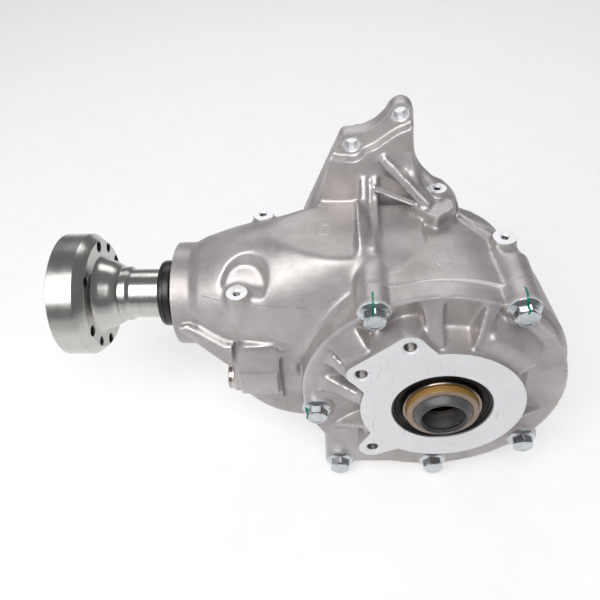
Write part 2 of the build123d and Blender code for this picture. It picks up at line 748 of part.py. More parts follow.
def pinion_profile(size):
    """Involute cross-section at a share of the pinion's large end, with one tooth pointing towards -Y."""
    pitch_radius = pinion_ratio * face_outer
    base = pitch_radius * math.cos(math.radians(pressure_angle))
    tip = pitch_radius + pinion_addendum
    root = pitch_radius - ring_addendum - tooth_clearance
    tooth = math.pi * pitch_radius / pinion_teeth - backlash / 2

    def involute(radius):
        angle = math.acos(min(1.0, base / radius))
        return math.tan(angle) - angle

    flank = []
    for radius in (root, max(base, root + 0.5), pitch_radius, (pitch_radius + tip) / 2, tip):
        half_angle = tooth / (2 * pitch_radius) + involute(pitch_radius) - involute(radius)
        flank.append((radius * size, half_angle))
    corners = []
    for i in range(pinion_teeth):
        centre = 2 * math.pi * i / pinion_teeth
        corners += [(r * math.cos(centre - a), r * math.sin(centre - a)) for r, a in flank]
        corners += [(r * math.cos(centre + a), r * math.sin(centre + a)) for r, a in reversed(flank)]
    return make_face(Polyline(*corners, close=True))


def pinion_gear():
    """Overhung bevel pinion in one piece with its splined and threaded stem."""
    sections = [along_output(face_outer) * pinion_profile(1.0),
                along_output(face_inner) * pinion_profile(face_inner / face_outer)]
    gear = loft(sections, ruled=True)
    shim_face = head_bearing_start - shim_thick
    spline_root = stem_radius - stem_spline_depth
    gear += lathe_output([
        (face_outer - 1, 0), (face_outer, pinion_hub), (shim_face, pinion_hub), (shim_face, head_journal),
        (head_bearing_end, head_journal), (head_bearing_end, tail_journal), (tail_bearing_end, tail_journal),
        (tail_bearing_end, spline_root), (stem_spline_end, spline_root),
        (stem_spline_end, stem_thread_radius), (stem_end - 1.5, stem_thread_radius),
        (stem_end, stem_thread_radius - 1.5), (stem_end, 0)])
    teeth = spline_profile(stem_radius, stem_spline_teeth, stem_spline_depth) - Circle(spline_root - 1)
    gear += along_output(stem_spline_start) * extrude(teeth, amount=stem_spline_end - stem_spline_start)
    return gear


def flange_turning():
    """Turned shape of the companion flange, with its bell, neck and nut recess."""
    bell = flange_bell_radius
    back = flange_disc_back
    pilot_floor = flange_reach - flange_pilot_depth
    bore = stem_radius - 5
    return lathe_output([
        (flange_reach, flange_pilot), (flange_reach, flange_radius - 0.8),
        (flange_reach - 0.8, flange_radius), (back + 6.7, flange_radius), (back, 44.3), (back, 32),
        (264, 28.5), (258, 26.3), (252.5, bell + 0.4), (252, bell - 0.5), (249, bell - 0.5),
        (248.9, bell), (246, bell), (243, flange_neck), (tail_bearing_end, flange_neck),
        (tail_bearing_end, bore), (flange_seat, bore), (flange_seat, nut_radius + 4.5), (flange_seat + 12, nut_radius + 5.5),
        (pilot_floor, flange_pilot - 5), (pilot_floor, flange_pilot)])


def output_flange():
    """Companion flange whose neck runs in the pinion seal and clamps the tail bearing."""
    flange = flange_turning()
    bore = spline_profile(stem_radius, stem_spline_teeth, stem_spline_depth, run_gap)
    flange -= along_output(tail_bearing_end - 1) * extrude(bore, amount=flange_seat - tail_bearing_end + 2)
    step = 360 / flange_hole_count
    holes = [flange_first_hole + step * i for i in range(flange_hole_count)]
    extra = [holes[0] + step / 2, holes[3] + step / 2]
    for radius, angles in ((flange_hole_radius, holes), (flange_extra_hole, extra)):
        for y, z in polar_spots(flange_hole_circle, angles):
            drill_plane = Plane((-260, y - output_back, z + output_rise), z_dir=(-1, 0, 0))
            flange -= drill_plane * standing(radius, 40)
    return flange


def pinion_nut():
    top = nut_height
    nut = extrude(hexagon(2 * nut_radius), amount=top) & lathe_local(
        [(0, 0), (nut_radius + 1.8, 0), (nut_radius + 1.8, top - 2), (nut_radius - 1, top), (0, top)])
    nut += extrude(Circle(nut_radius + 3), amount=1.6)
    nut -= extrude(Circle(stem_thread_radius + seat_gap), amount=top)
    return along_output(flange_seat) * nut


def crush_sleeve():
    """Collapsible spacer between the two pinion bearings."""
    inner = tail_journal + 0.1
    middle = (head_bearing_end + tail_bearing_start) / 2
    return lathe_output([(head_bearing_end, inner), (head_bearing_end, inner + 2), (middle - 8, inner + 2),
                         (middle - 3, sleeve_radius), (middle + 3, sleeve_radius), (middle + 8, inner + 2),
                         (tail_bearing_start, inner + 2), (tail_bearing_start, inner), (middle + 7, inner),
                         (middle + 2.5, sleeve_radius - 2), (middle - 2.5, sleeve_radius - 2),
                         (middle - 7, inner)])


def dust_deflector():
    bore = flange_neck + seat_gap
    start, end, outside = deflector_start, deflector_end, deflector_radius
    return lathe_output([(start, bore), (start, 22), (start + 1.5, outside - 1), (start + 3, outside),
                         (end - 2.2, outside), (end, outside - 1.8), (end, bore)])


def halfshaft_seal():
    """Ring pressed into the end of the input shaft."""
    outside = halfshaft_seal_radius - seat_gap
    inside = halfshaft_seal_radius - halfshaft_seal_wall
    front = pad_y - halfshaft_seal_stand
    return lathe_input([(inside, front), (outside - 0.8, front), (outside, front + 0.8), (outside, pad_y + 9),
                        (inside, pad_y + 9)])


def halfshaft_seal_lip():
    """Tapered rubber nose that wipes the halfshaft."""
    outside = halfshaft_seal_radius - halfshaft_seal_wall - seat_gap
    front = pad_y - halfshaft_seal_stand
    tip = pad_y - halfshaft_lip_stand
    mouth = shaft_bore + 0.3
    return lathe_input([(outside, pad_y + 9), (outside, front - 0.3), (mouth + 1.2, tip), (mouth, tip),
                        (mouth + 0.6, tip + 4), (mouth + 2.6, front + 2), (mouth + 2.6, pad_y + 9)])


def spigot_o_ring():
    centre = spigot_radius - o_ring_groove + seat_gap + o_ring_width / 2
    return revolve(Pos(centre, spigot_length / 2) * Circle(o_ring_width / 2), Axis.Y)


def save(name, shape):
    """Write one node; a list of shapes becomes one node of separate solids."""
    pieces = shape if isinstance(shape, list) else [shape]
    solids = [solid for piece in pieces for solid in piece.solids()]
    export_step(solids[0] if len(solids) == 1 else Compound(solids), f"parts/{name}.step")


def save_bearing(name, place, bore, outside, width):
    cone, cup, rolling = taper_bearing(bore, outside, width, bearing_rollers)
    save(f"{name}_cone", place * cone)
    save(f"{name}_cup", place * cup)
    save(f"{name}_rollers", [place * piece for piece in rolling])


os.makedirs("parts", exist_ok=True)
save("main_case", main_case())
save("side_cover", side_cover())
save("cover_bolts", cover_bolts())
save("cover_dowels", cover_dowels())
fill_place = Plane(fill_plug_spot, x_dir=(0, 1, 0), z_dir=(1, 0, 0))
drain_place = Pos(*drain_plug_spot)
for plug_name, plug_place in (("fill_plug", fill_place), ("drain_plug", drain_place)):
    save(plug_name, plug_place * threaded_plug())
    save(f"{plug_name}_washer", plug_place * plug_washer())
save("vent_tube", vent_tube())
save("spigot_o_ring", spigot_o_ring())

save_bearing("cover_bearing", along_y(0, cover_cup_seat + shim_thick, 0), cover_journal, cover_cup_radius,
             cover_bearing_width)
save_bearing("case_bearing", Plane((0, -case_bearing_back, 0), x_dir=(1, 0, 0), z_dir=(0, -1, 0)),
             case_journal, case_cup_radius, case_bearing_width)
save_bearing("head_bearing", along_output(head_bearing_end, False), head_journal, head_cup_radius,
             head_bearing_end - head_bearing_start)
save_bearing("tail_bearing", along_output(tail_bearing_start), tail_journal, tail_cup_radius,
             tail_bearing_end - tail_bearing_start)
save("cover_bearing_shim", along_y(0, cover_cup_seat, 0)
     * extrude(Circle(cover_cup_radius - seat_gap) - Circle(shim_bore), amount=shim_thick))
save("pinion_shim", along_output(head_bearing_start - shim_thick)
     * extrude(Circle(pinion_hub) - Circle(head_journal + seat_gap), amount=shim_thick))
save("cover_seal", along_y(0, pad_y + 3, 0) * radial_seal(seal_land, cover_seal_radius, 8))
save("case_seal", Plane((0, 6, 0), x_dir=(1, 0, 0), z_dir=(0, -1, 0))
     * radial_seal(case_journal - 0.5, case_seal_radius, 10))
save("pinion_seal", along_output(snout_end - 0.5, False)
     * radial_seal(flange_neck, pinion_seal_radius, snout_end - 0.5 - pinion_seal_back))

save("input_shaft", input_shaft())
save("ring_gear", ring_gear())
save("ring_gear_bolts", ring_gear_bolts())
save("halfshaft_seal", halfshaft_seal())
save("halfshaft_seal_lip", halfshaft_seal_lip())
save("pinion_gear", pinion_gear())
save("crush_sleeve", crush_sleeve())
save("output_flange", output_flange())
save("pinion_nut", pinion_nut())
save("dust_deflector", dust_deflector())

bearing_sizes = {
    "cover": (cover_journal, cover_cup_radius),
    "case": (case_journal, case_cup_radius),
    "head": (head_journal, head_cup_radius),
    "tail": (tail_journal, tail_cup_radius),
}
for name, (bore, outside) in bearing_sizes.items():
    print(name, "bearing roller set turns", round(roller_speed(bore, outside), 4), "of a cone turn")
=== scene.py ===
"""Looks of a cast aluminium transfer case: casting skins, turned flange, bolts, seals and the studio."""

import json
import math

import bmesh
import bpy
import numpy as np
from mathutils import Matrix, Vector


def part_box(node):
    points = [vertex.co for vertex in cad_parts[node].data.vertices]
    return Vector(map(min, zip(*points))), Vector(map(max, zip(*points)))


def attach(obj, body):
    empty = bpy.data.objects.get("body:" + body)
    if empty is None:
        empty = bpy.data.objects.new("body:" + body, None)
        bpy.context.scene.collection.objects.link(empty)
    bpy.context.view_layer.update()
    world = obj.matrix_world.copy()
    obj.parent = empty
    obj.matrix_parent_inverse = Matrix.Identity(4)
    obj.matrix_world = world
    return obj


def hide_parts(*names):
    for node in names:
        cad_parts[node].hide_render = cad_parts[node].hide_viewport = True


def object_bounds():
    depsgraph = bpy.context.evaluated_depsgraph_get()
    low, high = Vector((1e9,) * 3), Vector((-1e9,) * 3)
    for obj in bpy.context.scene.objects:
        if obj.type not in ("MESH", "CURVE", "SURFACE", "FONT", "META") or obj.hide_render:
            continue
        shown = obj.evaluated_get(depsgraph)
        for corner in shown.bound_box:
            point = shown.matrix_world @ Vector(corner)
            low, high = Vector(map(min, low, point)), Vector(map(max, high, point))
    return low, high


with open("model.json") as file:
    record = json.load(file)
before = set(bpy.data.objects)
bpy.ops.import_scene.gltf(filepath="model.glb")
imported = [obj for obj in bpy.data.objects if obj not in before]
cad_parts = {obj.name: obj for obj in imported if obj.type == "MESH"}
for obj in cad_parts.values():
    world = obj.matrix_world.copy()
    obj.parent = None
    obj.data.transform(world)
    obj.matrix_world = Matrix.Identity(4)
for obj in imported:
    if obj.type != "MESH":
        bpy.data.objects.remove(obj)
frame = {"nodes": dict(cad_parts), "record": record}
cad_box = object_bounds()
MM = 0.001

# Places and sizes in millimetres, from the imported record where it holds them
mounts = {mount["name"]: mount for mount in frame["record"]["mounts"]}


def place(name):
    return [value / MM for value in mounts[name]["pos_m"]]


def low_corner(node):
    return [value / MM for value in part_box(node)[0]]


def high_corner(node):
    return [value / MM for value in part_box(node)[1]]


pad_y = place("support_face")[1]
joint_y = high_corner("side_cover")[1]
rim_depth = 17
rim_y = joint_y - rim_depth
snout_x = low_corner("main_case")[0]
spigot_end = high_corner("main_case")[1]
spigot_radius = mounts["transaxle_spigot"]["dims"]["r_mm"]
output_y, output_z = place("output_flange_bolts")[1:]
input_spot = (0, 0, 0)
output_spot = (0, output_y, output_z)
along_input = (0, 1, 0)
along_output = (-1, 0, 0)
bolt_circle = 96
bolt_angles = (122.4, 60.5, -165.2, -87.5, -40.5)
bolt_spots = [(bolt_circle * math.cos(math.radians(a)), bolt_circle * math.sin(math.radians(a)))
              for a in bolt_angles] + [(-75, -97)]
bolt_hole = 5.05
bolt_seat = 11.5
bolt_fill = 8  # filled solid until the holes are drilled
support_spots = [place(f"support_thread_{i}") for i in (1, 2, 3)]
boss_radii = (8.1, 8.85, 7.2, 8.9)
boss_tops = [(place(f"top_thread_{i}"), radius) for i, radius in enumerate(boss_radii, 1)]
crown_z = 95.8
transaxle_circle = 68
flange_circle = 40
ear_face = -13
ear_spots = [(-64.3, 140.6), (-29.4, 164.2)]
ear_hole = 5.25
fill_spot = (-163, -93, -30)
drain_spot = (-28, -60, -101)
plug_hole = 8.02
plug_seat = 12.6
vent_foot = Vector((-14, -35, 100.8))
vent_tip = Vector((-50, -35, 117.7))

# Casting finish
voxel = 1.3  # step of the even mesh
rounding = 4  # passes that round every edge
soft_core = 1.6  # how far the full rounding reaches in a fillet region
soft_steps = 10
stock = 1.8  # metal left for the mills
proud = 0.4  # the same on the cover's rim
skin_faces = 160000  # triangles in a skin
wide = 400  # past the whole part


# Mesh helpers, all in millimetres until the mesh is stored

def store(name, bm, materials=()):
    mesh = bpy.data.meshes.new(name)
    bmesh.ops.scale(bm, vec=(MM, MM, MM), verts=bm.verts)
    bm.to_mesh(mesh)
    bm.free()
    obj = bpy.data.objects.new(name, mesh)
    bpy.context.scene.collection.objects.link(obj)
    for material in materials:
        mesh.materials.append(material)
    return obj


def welded(node):
    """A merged copy of a CAD node's mesh."""
    bm = bmesh.new()
    bm.from_mesh(frame["nodes"][node].data)
    bmesh.ops.scale(bm, vec=(1 / MM,) * 3, verts=bm.verts)
    bmesh.ops.remove_doubles(bm, verts=bm.verts, dist=0.001)
    return bm


def lathe(bm, origin, direction, profile, segments=96, slot=0):
    """Solid turned about an axis from (radius, distance) corners; slot may be a list, one for each step."""
    axis = Vector(direction).normalized()
    side = Vector((0, 0, 1)) if abs(axis.z) < 0.9 else Vector((1, 0, 0))
    side = (side - axis * side.dot(axis)).normalized()
    up = axis.cross(side)
    rings = []
    for radius, along in profile:
        centre = Vector(origin) + axis * along
        count = 1 if radius < 1e-6 else segments
        turns = [2 * math.pi * i / segments for i in range(count)]
        rings.append([bm.verts.new(centre + radius * (side * math.cos(a) + up * math.sin(a))) for a in turns])
    faces = []
    for first, second in zip(rings, rings[1:] + rings[:1]):
        if len(first) == 1 and len(second) == 1:
            continue
        for i in range(segments):
            j = i + 1
            loop = [first[i % len(first)], first[j % len(first)],
                    second[j % len(second)], second[i % len(second)]]
            faces.append(bm.faces.new(list(dict.fromkeys(loop))))
    for index, face in enumerate(faces):
        face.material_index = slot[index // segments] if isinstance(slot, list) else slot
    bmesh.ops.recalc_face_normals(bm, faces=faces)


def rod(bm, origin, direction, radius, start, end, segments=48, slot=0):
    lathe(bm, origin, direction, [(0, start), (radius, start), (radius, end), (0, end)], segments, slot)


def block(bm, low, high, slot=0):
    corners = [bm.verts.new((x, y, z))
               for x in (low[0], high[0]) for y in (low[1], high[1]) for z in (low[2], high[2])]
    quads = ((0, 1, 3, 2), (4, 6, 7, 5), (0, 4, 5, 1), (2, 3, 7, 6), (0, 2, 6, 4), (1, 5, 7, 3))
    faces = [bm.faces.new([corners[i] for i in quad]) for quad in quads]
    for face in faces:
        face.material_index = slot
    bmesh.ops.recalc_face_normals(bm, faces=faces)


def hull(bm, corners):
    """Convex solid round a set of corners."""
    made = bmesh.ops.convex_hull(bm, input=[bm.verts.new(c) for c in corners])
    spare = {v for v in made["geom_interior"] + made["geom_unused"] if isinstance(v, bmesh.types.BMVert)}
    bmesh.ops.delete(bm, geom=list(spare), context="VERTS")
    faces = [f for f in made["geom"] if isinstance(f, bmesh.types.BMFace) and f.is_valid]
    bmesh.ops.recalc_face_normals(bm, faces=faces)


def swell(bm, beads):
    """Rounded rib through a row of beads (centre, radius)."""
    compass = [(a, b, c) for a in (-1, 0, 1) for b in (-1, 0, 1) for c in (-1, 0, 1) if a or b or c]
    rings = [[Vector(centre) + Vector(way).normalized() * radius for way in compass]
             for centre, radius in beads]
    for first, second in zip(rings, rings[1:]):
        hull(bm, first + second)


def leave_stock(bm, direction, level, amount=stock):
    """Raise every flat face at a level: metal that the machining takes off again."""
    axis = Vector(direction)
    chosen = [f for f in bm.faces
              if f.normal.dot(axis) > 0.999 and abs(f.calc_center_median().dot(axis) - level) < 0.02]
    grown = bmesh.ops.extrude_face_region(bm, geom=chosen)
    moved = [v for v in grown["geom"] if isinstance(v, bmesh.types.BMVert)]
    bmesh.ops.translate(bm, verts=moved, vec=axis * amount)
    bmesh.ops.delete(bm, geom=[f for f in chosen if f.is_valid], context="FACES")


def thread(radius, start, end, pitch, depth):
    """Corners of a tapped wall, one groove per turn."""
    corners = []
    turns = int(abs(end - start) / pitch)
    step = math.copysign(pitch, end - start)
    for i in range(turns):
        along = start + step * i
        corners += [(radius, along), (radius, along + step * 0.15), (radius + depth, along + step * 0.55)]
    return corners + [(radius, start + step * turns)]


def settle(obj):
    """Replace the object's mesh by its evaluated mesh and drop the modifiers."""
    depsgraph = bpy.context.evaluated_depsgraph_get()
    mesh = bpy.data.meshes.new_from_object(obj.evaluated_get(depsgraph))
    obj.modifiers.clear()
    obj.data = mesh
    return obj


def even_mesh(obj):
    even = obj.modifiers.new("even", "REMESH")
    even.mode = "VOXEL"
    even.voxel_size = voxel * MM
    return settle(obj)


def soften(obj, regions, turns):
    """Extra rounding inside spheres (centre, reach), fading out to their edges."""
    points = np.empty(len(obj.data.vertices) * 3)
    obj.data.vertices.foreach_get("co", points)
    points = points.reshape(-1, 3) / MM
    share = np.zeros(len(points))
    for centre, reach in regions:
        away = np.linalg.norm(points - np.array(centre), axis=1)
        share = np.maximum(share, soft_core * (1 - away / reach))
    level = np.clip((share * soft_steps).astype(int), 0, soft_steps)
    group = obj.vertex_groups.new(name="soft")
    for step in range(1, soft_steps + 1):
        group.add(np.nonzero(level == step)[0].tolist(), step / soft_steps, "REPLACE")
    relax = obj.modifiers.new("fillet", "SMOOTH")
    relax.factor = 0.5
    relax.iterations = turns
    relax.vertex_group = "soft"
    settle(obj)


def cast(name, bm, carving, regions, turns):
    """Round a raw casting as its mould would: even mesh, carved forms, relaxed edges, thinned flats."""
    obj = even_mesh(store(name, bm))
    if carving:
        even_mesh(machine(obj, carving, [raw_case]))
    soften(obj, regions, turns)
    relax = obj.modifiers.new("round", "SMOOTH")
    relax.factor = 0.5
    relax.iterations = rounding
    settle(obj)
    thin = obj.modifiers.new("thin", "DECIMATE")
    thin.ratio = min(1.0, skin_faces / (2 * len(obj.data.polygons)))
    return settle(obj)


def machine(obj, cutter, materials):
    """Cut with crisp tools; each cut face takes the material slot of its tool."""
    tool = store("tool", cutter, materials)
    for material in materials[len(obj.data.materials):]:
        obj.data.materials.append(material)
    cut = obj.modifiers.new("cut", "BOOLEAN")
    cut.operation = "DIFFERENCE"
    cut.solver = "MANIFOLD"
    cut.object = tool
    settle(obj)
    bpy.data.objects.remove(tool)
    return obj


def finished(obj, body, slot, *nodes, angle=30):
    """Shade a piece, let it ride on its body and stand for its CAD nodes."""
    obj.data.shade_smooth()
    obj.data.set_sharp_from_angle(angle=math.radians(angle))
    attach(obj, body)
    if nodes:
        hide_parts(*nodes)


# Shader helpers

def new_node(tree, kind, **settings):
    made = tree.nodes.new(kind)
    for key, value in settings.items():
        setattr(made, key, value)
    return made


def feed(tree, socket, value):
    """Link a socket or set a plain value."""
    if isinstance(value, bpy.types.NodeSocket):
        tree.links.new(value, socket)
    elif value is not None:
        socket.default_value = value


def calc(tree, operation, first, second=None, clamp=False):
    made = new_node(tree, "ShaderNodeMath", operation=operation, use_clamp=clamp)
    feed(tree, made.inputs[0], first)
    feed(tree, made.inputs[1], second)
    return made.outputs[0]


def vector_calc(tree, operation, first, second=None, scale=None):
    made = new_node(tree, "ShaderNodeVectorMath", operation=operation)
    feed(tree, made.inputs[0], first)
    feed(tree, made.inputs[1], second)
    if scale is not None:
        feed(tree, made.inputs["Scale"], scale)
    return made.outputs["Value" if operation in ("DOT_PRODUCT", "LENGTH") else "Vector"]


def spread(tree, value, low, high, to_low=0.0, to_high=1.0):
    """Map a value from one span to another, clamped."""
    made = new_node(tree, "ShaderNodeMapRange")
    spans = {"Value": value, "From Min": low, "From Max": high, "To Min": to_low, "To Max": to_high}
    for name, given in spans.items():
        feed(tree, made.inputs[name], given)
    return made.outputs["Result"]


def mix_colour(tree, share, first, second):
    made = new_node(tree, "ShaderNodeMix", data_type="RGBA")
    feed(tree, made.inputs[0], share)
    feed(tree, made.inputs[6], first)
    feed(tree, made.inputs[7], second)
    return made.outputs[2]


def noise(tree, vector, scale, detail=2.0, rough=0.5):
    made = new_node(tree, "ShaderNodeTexNoise")
    feed(tree, made.inputs["Vector"], vector)
    feed(tree, made.inputs["Scale"], scale)
    feed(tree, made.inputs["Detail"], detail)
    feed(tree, made.inputs["Roughness"], rough)
    return made.outputs["Fac"]


def object_point(tree):
    return new_node(tree, "ShaderNodeTexCoord").outputs["Object"]


def new_group(name, inputs, outputs):
    """Node group with named inputs (name, kind, value) and outputs (name, kind)."""
    group = bpy.data.node_groups.new(name, "ShaderNodeTree")
    for label, kind, value in inputs:
        socket = group.interface.new_socket(label, in_out="INPUT", socket_type=f"NodeSocket{kind}")
        socket.default_value = value
    for label, kind in outputs:
        group.interface.new_socket(label, in_out="OUTPUT", socket_type=f"NodeSocket{kind}")
    return group, group.nodes.new("NodeGroupInput").outputs, group.nodes.new("NodeGroupOutput").inputs


def use_group(tree, group, **values):
    """Place a group; underscores in a value's name stand for spaces."""
    made = new_node(tree, "ShaderNodeGroup", node_tree=group)
    for label, value in values.items():
        feed(tree, made.inputs[label.replace("_", " ")], value)
    return made.outputs


# Colours of worn, marked and paint-pen spots; the edge colour is wear and a painted highlight
edge_wear_and_highlight = (0.76, 0.735, 0.715, 1)
pit_dark = (0.16, 0.15, 0.14, 1)
ring_pale = (0.85, 0.82, 0.78, 1)
joint_dark = (0.12, 0.11, 0.10, 1)
paint_green = (0.015, 0.22, 0.16, 1)


# Shared surface effects

def build_casting_grain():
    """Blasted die-cast skin: fine grain, soft mottle, tiny pits, worn edges with a painted highlight, painted
    shade in concave spots.
    """
    tree, given, out = new_group(
        "casting_grain_and_painted_light",
        [("Pale", "Color", (0.5, 0.5, 0.5, 1)), ("Dull", "Color", (0.3, 0.3, 0.3, 1)),
         ("Grain Scale", "Float", 900.0), ("Mottle Scale", "Float", 28.0), ("Edge Gain", "Float", 0.75)],
        [("Color", "Color"), ("Roughness", "Float"), ("Height", "Float")])
    point = object_point(tree)
    fine = noise(tree, point, given["Grain Scale"], 4, 0.7)
    coarse = noise(tree, point, calc(tree, "MULTIPLY", given["Grain Scale"], 0.33), 3, 0.6)
    mottle = noise(tree, point, given["Mottle Scale"], 5, 0.6)
    pits = new_node(tree, "ShaderNodeTexVoronoi")
    feed(tree, pits.inputs["Vector"], point)
    pits.inputs["Scale"].default_value = 150
    pit_choice = spread(tree, noise(tree, point, 90, 2), 0.6, 0.66)
    pit = calc(tree, "MULTIPLY", spread(tree, pits.outputs["Distance"], 0.16, 0.05), pit_choice)
    bend = new_node(tree, "ShaderNodeNewGeometry").outputs["Pointiness"]
    # Convex edges lighten: partly worn metal, partly a painted highlight
    edge = spread(tree, bend, 0.512, 0.585)
    # Painted shade: concave spots found by pointiness are darkened
    hollow_shade = spread(tree, bend, 0.49, 0.42)
    speckle = calc(tree, "MULTIPLY", calc(tree, "SUBTRACT", fine, 0.5), 1.5)
    tone = calc(tree, "ADD", spread(tree, mottle, 0.35, 0.65), speckle)
    tone = calc(tree, "SUBTRACT", tone, calc(tree, "MULTIPLY", hollow_shade, 0.35), clamp=True)
    colour = mix_colour(tree, tone, given["Dull"], given["Pale"])
    colour = mix_colour(tree, calc(tree, "MULTIPLY", edge, given["Edge Gain"]), colour, edge_wear_and_highlight)
    colour = mix_colour(tree, calc(tree, "MULTIPLY", pit, 0.5), colour, pit_dark)
    feed(tree, out["Color"], colour)
    rough = calc(tree, "ADD", 0.35, calc(tree, "MULTIPLY", fine, 0.16))
    feed(tree, out["Roughness"], calc(tree, "SUBTRACT", rough, calc(tree, "MULTIPLY", edge, 0.08)))
    height = calc(tree, "ADD", calc(tree, "MULTIPLY", fine, 0.6), calc(tree, "MULTIPLY", coarse, 0.7))
    feed(tree, out["Height"], calc(tree, "SUBTRACT", height, calc(tree, "MULTIPLY", pit, 1.5)))
    return tree


def build_turned_lines():
    """Tool lines left by a lathe about an axis."""
    tree, given, out = new_group(
        "turned_lines",
        [("Centre", "Vector", (0, 0, 0)), ("Axis", "Vector", (0, 1, 0)), ("Density", "Float", 2500.0)],
        [("Lines", "Float"), ("Bands", "Float")])
    offset = vector_calc(tree, "SUBTRACT", object_point(tree), given["Centre"])
    along = vector_calc(tree, "DOT_PRODUCT", offset, given["Axis"])
    radial = vector_calc(tree, "SUBTRACT", offset, vector_calc(tree, "SCALE", given["Axis"], scale=along))
    radius = vector_calc(tree, "LENGTH", radial)
    lines = new_node(tree, "ShaderNodeCombineXYZ")
    feed(tree, lines.inputs[0], calc(tree, "MULTIPLY", along, given["Density"]))
    feed(tree, lines.inputs[1], calc(tree, "MULTIPLY", radius, given["Density"]))
    feed(tree, out["Lines"], noise(tree, lines.outputs[0], 1.0, 3, 0.7))
    feed(tree, out["Bands"], noise(tree, vector_calc(tree, "SCALE", lines.outputs[0], scale=0.08), 1.0, 2, 0.5))
    return tree


def build_scuffs():
    """Hair scratches and handling scuffs on a bare machined face."""
    tree, given, out = new_group(
        "scuffs", [("Scale", "Float", 1.0), ("Amount", "Float", 0.5)], [("Mask", "Float"), ("Smear", "Float")])
    point = object_point(tree)
    marks = None
    for turn, stretch in ((0.4, 30), (1.3, 45), (2.3, 25)):
        mapping = new_node(tree, "ShaderNodeMapping")
        feed(tree, mapping.inputs["Vector"], point)
        mapping.inputs["Rotation"].default_value = (0, turn, 0.3 * turn)
        mapping.inputs["Scale"].default_value = (stretch * 28, stretch * 20, stretch)
        hair = spread(tree, noise(tree, mapping.outputs[0], given["Scale"], 2, 0.6), 0.66, 0.73)
        marks = hair if marks is None else calc(tree, "MAXIMUM", marks, hair)
    patch = spread(tree, noise(tree, point, 45, 3), 0.45, 0.62)
    feed(tree, out["Mask"], calc(tree, "MULTIPLY", calc(tree, "MULTIPLY", marks, patch), given["Amount"]))
    feed(tree, out["Smear"], noise(tree, point, 60, 5, 0.7))
    return tree


def build_ring_mark():
    """Shallow circle that an ejector pin leaves in the casting."""
    tree, given, out = new_group(
        "ring_mark",
        [("Centre", "Vector", (0, 0, 0)), ("Radius", "Float", 0.005), ("Width", "Float", 0.0004)],
        [("Ring", "Float")])
    reach = vector_calc(tree, "LENGTH", vector_calc(tree, "SUBTRACT", object_point(tree), given["Centre"]))
    gap = calc(tree, "ABSOLUTE", calc(tree, "SUBTRACT", reach, given["Radius"]))
    worn = spread(tree, noise(tree, object_point(tree), 160, 2), 0.40, 0.52)
    ring = spread(tree, calc(tree, "DIVIDE", gap, given["Width"]), 1.0, 0.3)
    feed(tree, out["Ring"], calc(tree, "MULTIPLY", ring, worn))
    return tree


def build_parting_line():
    """Fine joint line that the halves of the mould leave at one height."""
    tree, given, out = new_group(
        "parting_line",
        [("Level", "Float", 0.0), ("Start", "Float", -0.2), ("End", "Float", 0.0), ("Front", "Float", -0.07),
         ("Half Width", "Float", 0.0002)],
        [("Line", "Float")])
    point = object_point(tree)
    parts = new_node(tree, "ShaderNodeSeparateXYZ")
    feed(tree, parts.inputs[0], point)
    gap = calc(tree, "ABSOLUTE", calc(tree, "SUBTRACT", parts.outputs["Z"], given["Level"]))
    line = spread(tree, calc(tree, "DIVIDE", gap, given["Half Width"]), 1.0, 0.4)
    ahead = calc(tree, "GREATER_THAN", parts.outputs["X"], given["Start"])
    behind = calc(tree, "LESS_THAN", parts.outputs["X"], given["End"])
    front = calc(tree, "LESS_THAN", parts.outputs["Y"], given["Front"])
    worn = spread(tree, noise(tree, point, 120, 2), 0.38, 0.5)
    span = calc(tree, "MULTIPLY", calc(tree, "MULTIPLY", ahead, behind), calc(tree, "MULTIPLY", front, worn))
    feed(tree, out["Line"], calc(tree, "MULTIPLY", line, span))
    return tree


def build_paint_stroke():
    """Upright stroke of an inspector's paint pen, broken at its ends."""
    tree, given, out = new_group(
        "paint_stroke",
        [("Across", "Float", 0.0), ("Low", "Float", 0.0), ("High", "Float", 0.0), ("Back", "Float", 0.0),
         ("Half Width", "Float", 0.0007)],
        [("Mask", "Float")])
    point = object_point(tree)
    parts = new_node(tree, "ShaderNodeSeparateXYZ")
    feed(tree, parts.inputs[0], point)
    ragged = calc(tree, "MULTIPLY", calc(tree, "SUBTRACT", noise(tree, point, 500, 3), 0.5), 0.0012)
    aside = calc(tree, "ABSOLUTE", calc(tree, "SUBTRACT", parts.outputs[0], given["Across"]))
    aside = calc(tree, "ADD", aside, ragged)
    inside = calc(tree, "LESS_THAN", aside, given["Half Width"])
    above = calc(tree, "GREATER_THAN", calc(tree, "ADD", parts.outputs[2], ragged), given["Low"])
    below = calc(tree, "LESS_THAN", calc(tree, "ADD", parts.outputs[2], ragged), given["High"])
    ahead = calc(tree, "LESS_THAN", calc(tree, "ADD", parts.outputs[1], ragged), given["Back"])
    upright = calc(tree, "MULTIPLY", above, below)
    feed(tree, out["Mask"], calc(tree, "MULTIPLY", calc(tree, "MULTIPLY", inside, ahead), upright))
    return tree


casting_grain_and_painted_light = build_casting_grain()
turned_lines = build_turned_lines()
scuffs = build_scuffs()
ring_mark = build_ring_mark()
parting_line = build_parting_line()
paint_stroke = build_paint_stroke()

# Paint strokes (across, low, high, half width) end at one depth; ejector marks are (centre, radius)
stroke_back = rim_y + 8.5
strokes = [(bolt_spots[0][0] - 1.4, bolt_spots[0][1] + 6, bolt_spots[0][1] + 16, 0.75),
           (bolt_spots[1][0] - 0.4, bolt_spots[1][1] + 4, bolt_spots[1][1] + 16, 0.75),
           (bolt_spots[2][0] - 8.2, bolt_spots[2][1] - 2, bolt_spots[2][1] + 4, 1.3)]
ejector_marks = [((-85.6, -58, crown_z), 5.8), ((-2.4, -93, 95.2), 7.3), ((-2, -38.5, 102.7), 5.2)]
parting_z, parting_start, parting_end = 62.5, -178, -98


def node_material(name):
    material = bpy.data.materials.new(name)
    material.use_nodes = True
    tree = material.node_tree
    return material, tree, tree.nodes["Principled BSDF"]


